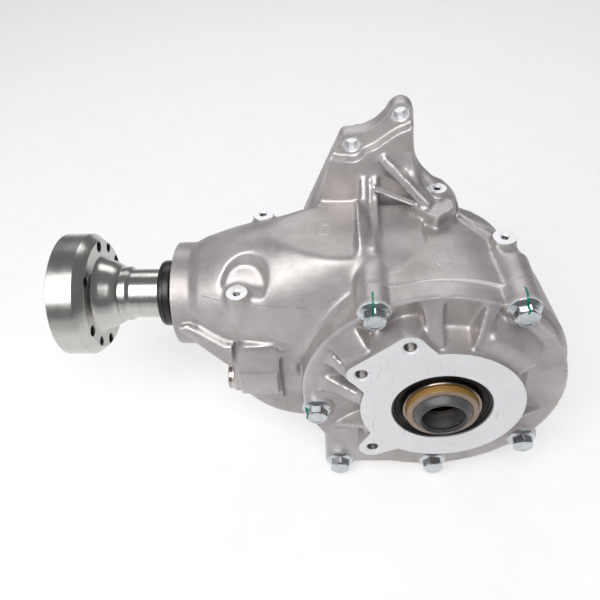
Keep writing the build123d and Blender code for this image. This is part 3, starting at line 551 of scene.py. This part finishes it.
def bump(tree, surface, height, distance):
    made = new_node(tree, "ShaderNodeBump")
    made.inputs["Distance"].default_value = distance
    feed(tree, made.inputs["Height"], height)
    tree.links.new(made.outputs[0], surface.inputs["Normal"])


def painted(tree, colour, rough):
    """Lay the green strokes over a finish; returns its new colour and roughness."""
    total = None
    for across, low, high, half in strokes:
        mask = use_group(tree, paint_stroke, Across=across * MM, Low=low * MM, High=high * MM,
                         Back=stroke_back * MM, Half_Width=half * MM)["Mask"]
        total = mask if total is None else calc(tree, "MAXIMUM", total, mask)
    return mix_colour(tree, total, colour, paint_green), spread(tree, total, 0, 1, rough, 0.45)


def cast_finish(name, pale, dull, metallic, marks=(), with_paint=False):
    material, tree, surface = node_material(name)
    skin = use_group(tree, casting_grain_and_painted_light, Pale=(*pale, 1), Dull=(*dull, 1))
    colour, rough, height = skin["Color"], skin["Roughness"], skin["Height"]
    for centre, radius in marks:
        mark = use_group(tree, ring_mark, Centre=[c * MM for c in centre], Radius=radius * MM)
        colour = mix_colour(tree, calc(tree, "MULTIPLY", mark["Ring"], 0.9), colour, ring_pale)
        height = calc(tree, "SUBTRACT", height, calc(tree, "MULTIPLY", mark["Ring"], 3))
    surface.inputs["Metallic"].default_value = metallic
    if marks:
        joint = use_group(tree, parting_line, Level=parting_z * MM, Start=parting_start * MM,
                          End=parting_end * MM)["Line"]
        colour = mix_colour(tree, calc(tree, "MULTIPLY", joint, 0.45), colour, joint_dark)
        height = calc(tree, "SUBTRACT", height, calc(tree, "MULTIPLY", joint, 2))
    if with_paint:
        colour, rough = painted(tree, colour, rough)
    feed(tree, surface.inputs["Base Color"], colour)
    feed(tree, surface.inputs["Roughness"], rough)
    bump(tree, surface, height, 0.00012)
    return material


def turned_finish(name, colour, dull, metallic, rough, centre=input_spot, axis=along_input, density=2500,
                  depth=0.00003, scuff=0.3, with_paint=False):
    """Lathe-turned, ground or milled metal."""
    material, tree, surface = node_material(name)
    lines = use_group(tree, turned_lines, Centre=[c * MM for c in centre], Axis=axis, Density=density)
    worn = use_group(tree, scuffs, Amount=scuff)
    smear = calc(tree, "MULTIPLY", worn["Smear"], 0.5)
    tone = calc(tree, "ADD", calc(tree, "MULTIPLY", lines["Lines"], 0.7), smear)
    tone = spread(tree, tone, 0.35, 0.85)
    shade = mix_colour(tree, tone, (*dull, 1), (*colour, 1))
    shade = mix_colour(tree, worn["Mask"], shade, tuple(c * 0.45 for c in colour) + (1,))
    glaze = calc(tree, "ADD", rough * 0.7, calc(tree, "MULTIPLY", lines["Bands"], rough * 0.6))
    if with_paint:
        shade, glaze = painted(tree, shade, glaze)
    feed(tree, surface.inputs["Base Color"], shade)
    feed(tree, surface.inputs["Roughness"], glaze)
    surface.inputs["Metallic"].default_value = metallic
    height = calc(tree, "SUBTRACT", lines["Lines"], calc(tree, "MULTIPLY", worn["Mask"], 0.5))
    bump(tree, surface, height, depth)
    return material


def moulded_finish(name, colour, pale, rough, depth=0.00004, metallic=0.0):
    """Moulded rubber with a faint bloom."""
    material, tree, surface = node_material(name)
    point = object_point(tree)
    grain = noise(tree, point, 1500, 3, 0.6)
    bloom = spread(tree, noise(tree, point, 70, 4, 0.6), 0.42, 0.7)
    feed(tree, surface.inputs["Base Color"], mix_colour(tree, bloom, (*colour, 1), (*pale, 1)))
    feed(tree, surface.inputs["Roughness"], calc(tree, "ADD", rough, calc(tree, "MULTIPLY", grain, 0.15)))
    surface.inputs["Metallic"].default_value = metallic
    bump(tree, surface, grain, depth)
    return material


cast_pale, cast_dull = (0.53, 0.50, 0.49), (0.37, 0.345, 0.335)
raw_case = cast_finish("raw_case", cast_pale, cast_dull, 0.6, ejector_marks)
raw_cover = cast_finish("raw_cover", cast_pale, cast_dull, 0.6, (), True)
milled = turned_finish("milled_face", (0.84, 0.84, 0.86), (0.72, 0.72, 0.74), 0.35, 0.4, density=900,
                       scuff=0.8)
# Painted shade: bores, tapped threads and drilled holes get this dark copy of the machined metal
shaded_bore = turned_finish("bore_wall_painted_shade", (0.30, 0.28, 0.27), (0.16, 0.15, 0.14), 0.95, 0.3, density=1500)
turned_steel = turned_finish("turned_flange_steel", (0.62, 0.61, 0.575), (0.45, 0.44, 0.415), 1.0, 0.24,
                             output_spot, along_output, 1800, 0.00005)
zinc = turned_finish("zinc_plate", (0.70, 0.73, 0.75), (0.42, 0.45, 0.48), 1.0, 0.14, density=600,
                     depth=0.00001, scuff=0.4, with_paint=True)
vent_zinc = turned_finish("vent_plate", (0.95, 0.95, 0.96), (0.84, 0.85, 0.86), 0.85, 0.24, vent_foot,
                          (vent_tip - vent_foot).normalized(), 1500, 0.00001)
shaft_end_steel = turned_finish("shaft_end_steel", (0.36, 0.31, 0.27), (0.20, 0.17, 0.15), 1.0, 0.18)
shaft_steel = turned_finish("ground_shaft_steel", (0.68, 0.66, 0.63), (0.45, 0.44, 0.42), 1.0, 0.24)
bearing_pale, bearing_dull = (0.75, 0.75, 0.75), (0.55, 0.55, 0.56)
bearing_steel = turned_finish("bearing_steel", bearing_pale, bearing_dull, 1.0, 0.18, density=3500)
pinion_bearing_steel = turned_finish("pinion_bearing_steel", bearing_pale, bearing_dull, 1.0, 0.18,
                                     output_spot, along_output, 3500)
gear_pale, gear_dull = (0.42, 0.40, 0.38), (0.26, 0.25, 0.25)
gear_steel = turned_finish("gear_steel", gear_pale, gear_dull, 1.0, 0.32, density=1200, scuff=0.5)
pinion_steel = turned_finish("pinion_steel", gear_pale, gear_dull, 1.0, 0.32, output_spot, along_output, 1200,
                             scuff=0.5)
plug_steel = turned_finish("plug_steel", (0.62, 0.56, 0.52), (0.30, 0.25, 0.22), 1.0, 0.25, fill_spot,
                           (1, 0, 0), 1200)
washer_metal = turned_finish("soft_washer", (0.80, 0.80, 0.80), (0.62, 0.62, 0.62), 0.9, 0.36, fill_spot,
                             (1, 0, 0))
black_steel = turned_finish("black_steel", (0.05, 0.05, 0.052), (0.025, 0.025, 0.027), 0.5, 0.34, output_spot,
                            along_output, 900, 0.00003)
black_rubber = moulded_finish("black_rubber", (0.02, 0.018, 0.017), (0.05, 0.045, 0.042), 0.22)
brown_ring = moulded_finish("brown_ring_face", (0.26, 0.19, 0.14), (0.33, 0.25, 0.20), 0.34, metallic=0.2)
brown_wall = moulded_finish("brown_ring_wall", (0.32, 0.18, 0.05), (0.40, 0.24, 0.08), 0.2, metallic=0.35)
grey_rubber = moulded_finish("grey_rubber", (0.055, 0.052, 0.052), (0.10, 0.095, 0.095), 0.28)
case_slots = [raw_case, milled, shaded_bore]
cover_slots = [raw_cover, milled, shaded_bore]
as_milled, as_shaded_bore = 1, 2


# Housing

case_fillets = [((-95, -112, 70), 42), ((-110, -108, 30), 30), ((-66, -95, 88), 30), ((-28, -92, 92), 28),
                ((-120, -60, 96), 32), ((-100, -30, 96), 26), ((-70, -86, 95), 30), ((-45, -112, 85), 26),
                ((-120, -84, 90), 32), ((-95, -86, 94), 32), ((-139, -95, 66), 15), ((-145, -85, 60), 18),
                ((45, -80, 85), 16), ((-32, -64, 95), 12), ((-20, -20, 125), 14), (boss_tops[1][0], 20)]
cover_fillets = [((76 * math.cos(math.radians(a)), rim_y - 4, 76 * math.sin(math.radians(a))), 20)
                 for a in range(0, 360, 12)]


def add_case_forms(bm):
    """Bosses, ribs and swells of the casting that stand on the plain housing."""
    hull(bm, [(-199, -104.8, 40), (-191.5, -104.4, 42.5), (-159, -116, 25.5), (-147, -105, 28),
              (-197, -98, 26), (-159, -114, 3), (-190, -80, 24), (-149, -80, 3)])
    web = ((-104.5, 30), (-118.5, 1), (-118.5, -28), (-60, 24), (-70, -26))
    hull(bm, [(x, y, z) for x in (-155, -124.5) for y, z in web])
    boss_block = ((-17.2, -41), (-2, -54.6), (11.8, -42), (13, -33), (2, -22), (-10.8, -24))
    hull(bm, [(x, y, z) for x, y in boss_block for z in (80, 102.7)])
    hull(bm, [(-60, -24, 95.5), (-12, -26, 95), (-60, -24, 60), (-12, -24, 60), (-62, -62, 95.5),
              (-12, -50, 95), (-40, -72, 93), (-60, -104, 74), (-30, -106, 88), (-12, -90, 93),
              (-60, -104, 60), (-12, -104, 60)])
    hull(bm, [(38, -87, 95), (58, -87, 88), (36, -75, 94), (55, -60, 84), (38, -85, 70), (58, -85, 70),
              (44, -60, 70)])
    for corners in ([(-10, 116), (-19, 115), (-27, 104.5), (-27, 90), (-10, 90)],
                    [(-22, 108), (-27, 104.5), (-38, 101), (-38, 90), (-22, 90)],
                    [(-37, 101), (-84, 99.5), (-87, 88), (-37, 88)]):
        hull(bm, [(x, y, z) for x in (-57.5, -47.5) for y, z in corners])
    swell(bm, [((-41.8, -14.5, 138), 3), ((-40.2, -19, 128.8), 4.4), ((-30.5, -24, 121), 4.8),
               ((-19.3, -29, 114), 5), ((-8, -34, 105), 5)])
    swell(bm, [((-21.8, -12, 139), 3.6), ((-19.9, -15, 129), 4.8), ((-13.5, -18, 120), 5),
               ((-3.5, -22, 111), 5), ((6, -24, 102), 5)])
    hull(bm, [(16, -30, 91), (41, -66, 88.5), (18, -28, 91), (44, -63, 88),
              (16, -30, 70), (41, -66, 70), (18, -28, 70), (44, -63, 70)])


def case_carving():
    """Flat crown, the two slopes of the web pad and the slot behind the crown."""
    bm = bmesh.new()
    block(bm, (-140, -110, crown_z), (-61.5, -21.5, 125))
    for slope in (((-101, 29), (-118.5, 1.5), (-130, 1.5), (-130, 29)),
                  ((-118.5, 1), (-115, -30), (-130, -30), (-130, 1))):
        hull(bm, [(x, y, z) for x in (-157, -122) for y, z in slope])
    slot = ((19.5, -26.5, 80), (45.5, -61.5, 75), (23.5, -23, 80), (49, -57.5, 75))
    hull(bm, [(x, y, z) for x, y, low in slot for z in (low, 112)])
    return bm


def case_casting():
    """The main casting before machining: its holes are filled and its machined faces carry stock."""
    bm = welded("main_case")
    add_case_forms(bm)
    leave_stock(bm, (0, -1, 0), -joint_y)
    leave_stock(bm, (-1, 0, 0), -snout_x)
    for (x, y, z), radius in boss_tops:
        leave_stock(bm, (0, 0, 1), z)
        rod(bm, (x, y, 0), (0, 0, 1), 4, z - 14, z + stock)
    for x, z in bolt_spots:
        rod(bm, (x, 0, z), along_input, bolt_fill, joint_y - stock, joint_y + 27)
    for x, z in ear_spots:
        rod(bm, (x, 0, z), along_input, 6.5, ear_face, -0.5)
    rod(bm, fill_spot, (1, 0, 0), 9.5, 0, 12)
    rod(bm, drain_spot, (0, 0, 1), 9.5, 0, 10)
    lathe(bm, input_spot, along_input, [
        (0, joint_y - stock), (88, joint_y - stock), (88, -44), (78, -20), (76.5, -2), (76.5, stock),
        (50, stock), (50, spigot_end + stock), (0, spigot_end + stock)])
    lathe(bm, output_spot, along_output, [
        (0, 30), (48, 30), (48, 165), (40.8, 180), (40.8, -snout_x + stock), (0, -snout_x + stock)])
    return cast("case_skin", bm, case_carving(), case_fillets, turns=60)


def facing_tools():
    """Mills the cover joint, the transaxle side and the snout's mouth."""
    bm = bmesh.new()
    block(bm, (-118, joint_y - 50, -wide), (60.5, joint_y, wide), as_milled)
    block(bm, (60, joint_y - 50, -wide), (wide, joint_y, 5.5), as_milled)
    block(bm, (60, joint_y - 50, 5), (wide, joint_y, wide))  # keeps the cast look beside the cover
    groove, middle = spigot_radius - 3, spigot_end / 2
    lathe(bm, input_spot, along_input, [
        (spigot_radius, 0), (wide, 0), (wide, 60), (0, 60), (0, spigot_end), (spigot_radius - 1, spigot_end),
        (spigot_radius, spigot_end - 1), (spigot_radius, middle + 2), (groove, middle + 2),
        (groove, middle - 2), (spigot_radius, middle - 2)], 160, as_milled)
    lathe(bm, output_spot, along_output, [(0, -snout_x), (60, -snout_x), (60, 240), (0, 240)], 128, as_milled)
    return bm


def input_bore_tool():
    bm = bmesh.new()
    lathe(bm, input_spot, along_input, [
        (0, joint_y - 1), (86, joint_y - 1), (84, -46), (76, -22), (54, -22), (52, -30), (45, -30), (45, -7),
        (39, -7), (39, -4), (36, -4), (36, spigot_end - 0.8), (37, spigot_end + 0.5), (0, spigot_end + 0.5)],
        128, as_shaded_bore)
    return bm


def output_bore_tool():
    bm = bmesh.new()
    mouth = -snout_x
    lathe(bm, output_spot, along_output, [
        (0, 44), (28, 44), (36, 60), (40, 60), (40, 104), (33, 104), (33, 150), (36, 150), (36, 192), (39, 192),
        (39, mouth - 0.8), (40.2, mouth + 0.4), (0, mouth + 0.4)], 128, as_shaded_bore)
    return bm


def case_drills():
    bm = bmesh.new()
    for x, z in bolt_spots:
        rod(bm, (x, 0, z), along_input, bolt_hole, joint_y - 3, joint_y + 25, 40, as_shaded_bore)
    for x, z in ear_spots:
        lathe(bm, (x, 0, z), along_input, [
            (0, ear_face - 9), (6.0, ear_face - 9), (6.0, ear_face), (ear_hole, ear_face + 0.8),
            (ear_hole, 3), (0, 3)], 64, as_milled)
    for angle in (30, 150, -90):
        x = transaxle_circle * math.cos(math.radians(angle))
        z = transaxle_circle * math.sin(math.radians(angle))
        lathe(bm, (x, 0, z), along_input, [
            (0, -14), (4.25, -14), (4.25, -0.8), (5.2, 0.3), (0, 0.3)], 40, as_milled)
    for (x, y, z), radius in boss_tops:
        wall = [(0, z - 12)] + thread(2.5, z - 12, z - 1.2, 0.8, 0.45)
        above = [(2.5, z - 1.1), (3.5, z), (radius + 0.9, z), (radius + 0.9, z + 5), (0, z + 5)]
        lathe(bm, (x, y, 0), (0, 0, 1), wall + above, 48, [as_shaded_bore] * len(wall) + [as_milled] * len(above))
    return bm


def plug_seat_tools():
    bm = bmesh.new()
    for spot, direction in ((fill_spot, (1, 0, 0)), (drain_spot, (0, 0, 1))):
        lathe(bm, spot, direction, [
            (0, -6), (plug_seat, -6), (plug_seat, 0), (plug_hole, 0), (plug_hole, 20), (0, 20)], 48, as_milled)
    return bm


def make_case():
    case = case_casting()
    for tools in (facing_tools(), input_bore_tool(), output_bore_tool(), case_drills(), plug_seat_tools()):
        machine(case, tools, case_slots)
    finished(case, "housing", "cast_case", "main_case")


def cover_casting():
    bm = welded("side_cover")
    leave_stock(bm, (0, 1, 0), joint_y)
    leave_stock(bm, (0, -1, 0), -pad_y)
    leave_stock(bm, (0, -1, 0), -rim_y, proud)
    for x, z in bolt_spots:
        rod(bm, (x, 0, z), along_input, bolt_fill, rim_y - proud, joint_y + stock)
    for x, y, z in support_spots:
        rod(bm, (x, 0, z), along_input, 6, pad_y - stock, rim_y + 1)
    lathe(bm, input_spot, along_input, [
        (0, pad_y - stock), (38.5, pad_y - stock), (38.5, -132), (80, -124), (88, -118), (88, joint_y + stock),
        (0, joint_y + stock)])
    return cast("cover_skin", bm, None, cover_fillets, turns=16)


def cover_facing():
    bm = bmesh.new()
    block(bm, (-wide, pad_y - 40, -wide), (wide, pad_y, wide), as_milled)
    block(bm, (-wide, joint_y, -wide), (wide, joint_y + 40, wide), as_milled)
    return bm


def cover_bore_tool():
    bm = bmesh.new()
    lathe(bm, input_spot, along_input, [
        (0, pad_y - 1), (38, pad_y - 1), (37.2, pad_y), (36.5, pad_y + 0.7), (36.5, -139), (42, -139),
        (42, -137), (47.5, -137), (47.5, -123), (54, -122), (81, -122), (86, -121), (86, joint_y + 1),
        (0, joint_y + 1)], 128, as_shaded_bore)
    return bm


def cover_drills():
    bm = bmesh.new()
    for x, y, z in support_spots:
        mouth = [(0, pad_y - 1), (6.4, pad_y - 1), (5.9, pad_y), (4.6, pad_y + 1.2)]
        wall = thread(4.3, pad_y + 1.3, rim_y + 1, 1.25, 0.6) + [(0, rim_y + 1)]
        lathe(bm, (x, 0, z), along_input, mouth + wall, 56, [as_milled] * 3 + [as_shaded_bore] * len(wall))
    for x, z in bolt_spots:
        lathe(bm, (x, 0, z), along_input, [
            (0, pad_y - 4), (bolt_seat, pad_y - 4), (bolt_seat, rim_y), (bolt_hole, rim_y),
            (bolt_hole, joint_y + 1), (0, joint_y + 1)], 64, as_milled)
    return bm


def make_cover():
    cover = cover_casting()
    for tools in (cover_facing(), cover_bore_tool(), cover_drills()):
        machine(cover, tools, cover_slots)
    finished(cover, "housing", "cast_cover", "side_cover")


# Fasteners

def bolt_head(flats=15.0, head=9.5, washer=10.75):
    """Flanged hexagon bolt with a dished top; its seat is at the origin and its head stands on +Z."""
    bm = bmesh.new()
    lathe(bm, (0, 0, 0), (0, 0, 1), [
        (0, 1), (0, 0), (washer - 0.3, 0), (washer, 0.35), (washer, 1.2), (washer - 0.5, 1.6),
        (flats * 0.53, 2.9), (flats * 0.5, 3.1), (0, 3.1)], 72)
    steps = 96
    crown = flats * 0.46
    corner = flats / 2 / math.cos(math.pi / 6) - 0.25
    rings = [[], [], [], [], [], []]
    for i in range(steps):
        angle = 2 * math.pi * i / steps
        fold = (angle + math.pi / 6) % (math.pi / 3) - math.pi / 6
        reach = min(flats / 2 / math.cos(fold), corner)
        drop = max(0, reach - crown) * 0.62
        levels = ((reach, 2.2), (reach, head - drop), (crown, head), (crown - 0.7, head - 0.1),
                  (crown - 1.6, head - 0.6), (crown * 0.4, head - 0.75))
        for ring, (radius, height) in zip(rings, levels):
            ring.append(bm.verts.new((radius * math.cos(angle), radius * math.sin(angle), height)))
    low = bm.verts.new((0, 0, 2.2))
    top = bm.verts.new((0, 0, head - 0.75))
    faces = []
    for first, second in zip(rings, rings[1:]):
        for i in range(steps):
            j = (i + 1) % steps
            faces.append(bm.faces.new((first[i], first[j], second[j], second[i])))
    for i in range(steps):
        j = (i + 1) % steps
        faces.append(bm.faces.new((rings[0][j], rings[0][i], low)))
        faces.append(bm.faces.new((rings[-1][i], rings[-1][j], top)))
    bmesh.ops.recalc_face_normals(bm, faces=faces)
    shank = [(0, 0.5), (4.95, 0.5), (4.95, -16)] + thread(4.35, -16.2, -38, 1.5, 0.6) + [(3.6, -40), (0, -40)]
    lathe(bm, (0, 0, 0), (0, 0, 1), shank, 32)
    return store("bolt_pattern", bm, [zinc])


def bolt_tree(material):
    """Sets the given bolt on every point, turned by the point's own angle."""
    tree = bpy.data.node_groups.new("bolt_circle", "GeometryNodeTree")
    tree.interface.new_socket("Geometry", in_out="INPUT", socket_type="NodeSocketGeometry")
    tree.interface.new_socket("Bolt", in_out="INPUT", socket_type="NodeSocketObject")
    tree.interface.new_socket("Head Scale", in_out="INPUT", socket_type="NodeSocketFloat").default_value = 1.0
    tree.interface.new_socket("Geometry", in_out="OUTPUT", socket_type="NodeSocketGeometry")
    given = tree.nodes.new("NodeGroupInput").outputs
    turn = new_node(tree, "GeometryNodeInputNamedAttribute", data_type="FLOAT_VECTOR")
    turn.inputs["Name"].default_value = "turn"
    info = tree.nodes.new("GeometryNodeObjectInfo")
    feed(tree, info.inputs["Object"], given["Bolt"])
    points = tree.nodes.new("GeometryNodeMeshToPoints")
    feed(tree, points.inputs["Mesh"], given["Geometry"])
    copies = tree.nodes.new("GeometryNodeInstanceOnPoints")
    feed(tree, copies.inputs["Points"], points.outputs[0])
    feed(tree, copies.inputs["Instance"], info.outputs["Geometry"])
    feed(tree, copies.inputs["Rotation"], turn.outputs["Attribute"])
    feed(tree, copies.inputs["Scale"], given["Head Scale"])
    real = tree.nodes.new("GeometryNodeRealizeInstances")
    feed(tree, real.inputs[0], copies.outputs[0])
    plated = tree.nodes.new("GeometryNodeSetMaterial")
    feed(tree, plated.inputs["Geometry"], real.outputs[0])
    plated.inputs["Material"].default_value = material
    feed(tree, tree.nodes.new("NodeGroupOutput").inputs[0], plated.outputs[0])
    return tree


def make_bolts():
    pattern = bolt_head()
    bm = bmesh.new()
    for x, z in bolt_spots:
        bm.verts.new((x, rim_y, z))
    bolts = store("cover_bolt_set", bm)
    turns = bolts.data.attributes.new("turn", "FLOAT_VECTOR", "POINT")
    for i, entry in enumerate(turns.data):
        entry.vector = (math.pi / 2, math.radians(13 * i), 0)
    setter = bolts.modifiers.new("bolts", "NODES")
    tree = bolt_tree(zinc)
    setter.node_group = tree
    names = {item.name: item.identifier for item in tree.interface.items_tree if item.in_out == "INPUT"}
    setter[names["Bolt"]] = pattern
    setter[names["Head Scale"]] = 1.0
    settle(bolts)
    bpy.data.objects.remove(pattern)
    finished(bolts, "housing", "zinc_steel", "cover_bolts", angle=25)


# Turned and moulded pieces

def make_flange():
    bm = bmesh.new()
    lathe(bm, output_spot, along_output, [
        (38, 298), (38.6, 298.0), (49.2, 298), (50, 297.2), (50, 277.4), (49.4, 276.5), (44.6, 270.4),
        (43.8, 269.8), (33, 269.8), (32, 269.3), (28.8, 264.6), (26.6, 258.4), (23.4, 252.9), (22.3, 252.2),
        (21.9, 251.9), (21.9, 249.2), (22.4, 248.9), (22.4, 246.2), (21.9, 245.4), (20.1, 243.2), (20.1, 236),
        (20.25, 235.9), (20.25, 235.4), (20.1, 235.3), (20.1, 170), (15.1, 170), (15.1, 265.6), (15.6, 266),
        (21.5, 266), (22.5, 278), (33, 292), (37.4, 292), (38, 292.6)], 192)
    flange = store("flange_turning", bm)
    drills = bmesh.new()
    for radius, angles in ((4.0, [5 + 60 * i for i in range(6)]), (3.4, [35, 215])):
        for angle in angles:
            y = output_y + flange_circle * math.cos(math.radians(angle))
            z = output_z + flange_circle * math.sin(math.radians(angle))
            lathe(drills, (0, y, z), along_output, [
                (0, 260), (radius + 0.7, 260), (radius + 0.7, 269.8), (radius, 270.5), (radius, 297.4),
                (radius + 0.7, 298.1), (radius + 0.7, 300), (0, 300)], 48, 1)
    # The drilled holes take the dark bore metal: painted shade inside them
    machine(flange, drills, [turned_steel, shaded_bore])
    finished(flange, "output_set", "flange_steel", "output_flange")


def make_turned(name, body, slot, node, origin, direction, profile, materials, faces=0, segments=160):
    """A plain turned ring; faces may list the material slot of each profile step."""
    bm = bmesh.new()
    lathe(bm, origin, direction, profile, segments, faces)
    finished(store(name, bm, materials), body, slot, node)


def make_seals():
    seal_low, seal_high = low_corner("cover_seal")[1], high_corner("cover_seal")[1]
    ridges = []
    for i in range(4):
        along = seal_low + 1.4 + 0.35 * i
        ridges += [(34.6 - 1.1 * i, along), (34.1 - 1.1 * i, along - 0.45), (33.7 - 1.1 * i, along + 0.2)]
    make_turned("cover_seal_ring", "housing", "black_rubber", "cover_seal", input_spot, along_input, [
        (36.45, seal_high), (36.45, seal_low + 0.3), (36.1, seal_low), (35.2, seal_low), (34.9, seal_low + 0.4)]
        + ridges + [
            (30.3, seal_low + 0.7), (30.1, seal_low + 0.9), (29.1, seal_low + 2.2), (29.1, seal_low + 4.8),
            (30.6, seal_low + 6), (30.8, seal_high)], [black_rubber])
    ring_y = pad_y - 5
    make_turned("halfshaft_ring", "input_set", "brown_rubber", "halfshaft_seal", input_spot, along_input, [
        (21.8, pad_y + 8.8), (21.8, ring_y + 0.4), (22.1, ring_y), (25.2, ring_y), (26.0, ring_y + 0.35),
        (26.36, ring_y + 1.1), (26.36, pad_y + 8.8)], [brown_ring, brown_wall], [0, 0, 0, 0, 1, 1, 0])
    tip = pad_y - 10.5
    make_turned("halfshaft_nose", "input_set", "grey_rubber", "halfshaft_seal_lip", input_spot, along_input, [
        (21.62, pad_y + 8.8), (21.62, ring_y - 0.2), (21.2, ring_y - 0.6), (19.2, tip + 2.2), (18.3, tip + 0.5),
        (17.4, tip), (16.6, tip + 0.1), (16.35, tip + 0.6), (16.7, tip + 2.6), (16.1, tip + 3.0),
        (16.1, tip + 3.8), (16.8, tip + 4.2), (18.9, tip + 7.5), (18.9, pad_y + 8.8)],
        [grey_rubber, bearing_steel], [0] * 9 + [1] * 3 + [0] * 3)
    make_turned("deflector_ring", "output_set", "black_steel", "dust_deflector", output_spot, along_output, [
        (20.14, 207), (22, 207), (25.6, 208.2), (26.6, 209), (27, 210), (27, 213.4), (26.5, 213.8),
        (26.5, 214.4), (27, 214.8), (26.9, 217), (26.2, 218.2), (25.2, 218.7), (22.6, 218.7), (22.2, 218.3),
        (20.14, 218.3)], [black_steel])


def make_vent():
    run = vent_tip - vent_foot
    end = run.length
    make_turned("vent_pipe", "housing", "zinc_steel", "vent_tube", vent_foot, run, [
        (1.2, -7), (2.2, -7), (2.2, 0.5), (2.45, 0.7), (2.45, 1.3), (2.2, 1.5), (2.2, end - 3.4),
        (2.35, end - 3.2), (3.0, end - 2.6), (3.2, end - 2.0), (3.2, end - 1.2), (2.9, end - 0.5), (2.2, end),
        (1.3, end), (1.2, end - 0.2)], [vent_zinc], segments=48)


def dress_cad_nodes():
    """Finishes for the nodes that keep their own shape."""
    finishes = {
        "ground_steel": shaft_steel, "plug_steel": plug_steel, "washer_aluminium": washer_metal,
        "black_rubber": black_rubber, "bearing_steel": bearing_steel, "shaft_steel": shaft_steel,
        "gear_steel": gear_steel, "black_steel": black_steel, "zinc_steel": zinc, "flange_steel": turned_steel}
    for part in frame["record"]["subparts"]:
        node = part["node"]
        finish = finishes.get(part["material_slot"])
        if node.startswith(("head", "tail")):
            finish = pinion_bearing_steel
        if node in ("pinion_gear", "pinion_nut", "crush_sleeve"):
            finish = pinion_steel
        if node == "input_shaft":
            finish = shaft_end_steel
        mesh = frame["nodes"][node].data
        if finish and node not in ("cover_bolts", "vent_tube", "output_flange"):
            mesh.materials.clear()
            mesh.materials.append(finish)


make_case()
make_cover()
make_bolts()
make_flange()
make_seals()
make_vent()
dress_cad_nodes()


# Studio, in metres
camera_lens = 36.78
camera_spot = (-0.0765, -0.42695, 0.3715)
camera_back = (0.060, -0.727, 0.684)
camera_right = (0.998, 0.037, -0.048)
lamp_aim = (-0.08, -0.06, 0)
glow_front, glow_back = (-0.42, 0.1), (-0.26, 0.52)  # the floor's place along Y and its glow there


def add_camera():
    data = bpy.data.cameras.new("camera")
    data.sensor_width = 36
    data.lens = camera_lens
    data.clip_end = 20
    camera = bpy.data.objects.new("camera", data)
    back = Vector(camera_back).normalized()
    up = back.cross(Vector(camera_right)).normalized()
    turn = Matrix((up.cross(back), up, back)).transposed().to_4x4()
    camera.matrix_world = Matrix.Translation(camera_spot) @ turn
    bpy.context.scene.collection.objects.link(camera)
    bpy.context.scene.camera = camera


def add_lamp(name, spot, width, height, energy):
    data = bpy.data.lights.new(name, "AREA")
    data.shape = "RECTANGLE"
    data.size = width
    data.size_y = height
    data.energy = energy
    lamp = bpy.data.objects.new(name, data)
    turn = (Vector(lamp_aim) - Vector(spot)).to_track_quat("-Z", "Y").to_matrix().to_4x4()
    lamp.matrix_world = Matrix.Translation(spot) @ turn
    bpy.context.scene.collection.objects.link(lamp)


def add_floor():
    """Pale floor that shows near white to the eye and to reflections and still takes the shadow."""
    bm = bmesh.new()
    level = cad_box[0][2] / MM
    block(bm, (-3000, -3000, level - 20), (3000, 3000, level))
    material, tree, surface = node_material("floor_paper")
    surface.inputs["Roughness"].default_value = 0.9
    paper = spread(tree, noise(tree, object_point(tree), 40, 3), 0.3, 0.7)
    shade = mix_colour(tree, paper, (0.45, 0.45, 0.45, 1), (0.47, 0.47, 0.47, 1))
    feed(tree, surface.inputs["Base Color"], shade)
    rays = new_node(tree, "ShaderNodeLightPath").outputs
    mirrored = calc(tree, "MAXIMUM", rays["Is Glossy Ray"], rays["Is Transmission Ray"])
    seen = calc(tree, "MAXIMUM", rays["Is Camera Ray"], mirrored)
    surface.inputs["Emission Color"].default_value = (1, 1, 1, 1)
    parts = new_node(tree, "ShaderNodeSeparateXYZ")
    feed(tree, parts.inputs[0], object_point(tree))
    glow = spread(tree, parts.outputs["Y"], glow_front[0], glow_back[0], glow_front[1], glow_back[1])
    feed(tree, surface.inputs["Emission Strength"], calc(tree, "MULTIPLY", seen, glow))
    store("floor", bm, [material])


def add_world():
    world = bpy.data.worlds.new("studio")
    bpy.context.scene.world = world
    world.use_nodes = True
    background = world.node_tree.nodes["Background"]
    background.inputs["Color"].default_value = (0.95, 0.97, 1.0, 1)
    background.inputs["Strength"].default_value = 0.2


add_camera()
bpy.context.scene.view_settings.view_transform = "Standard"
add_lamp("key", (-0.28, -0.88, 1.2), 1.4, 1.0, 20.5)
add_lamp("top", (-0.1, 1.1, 1.1), 1.4, 0.6, 6)
add_lamp("left", (-0.95, -0.95, 0.8), 0.6, 0.6, 4)
add_floor()
add_world()
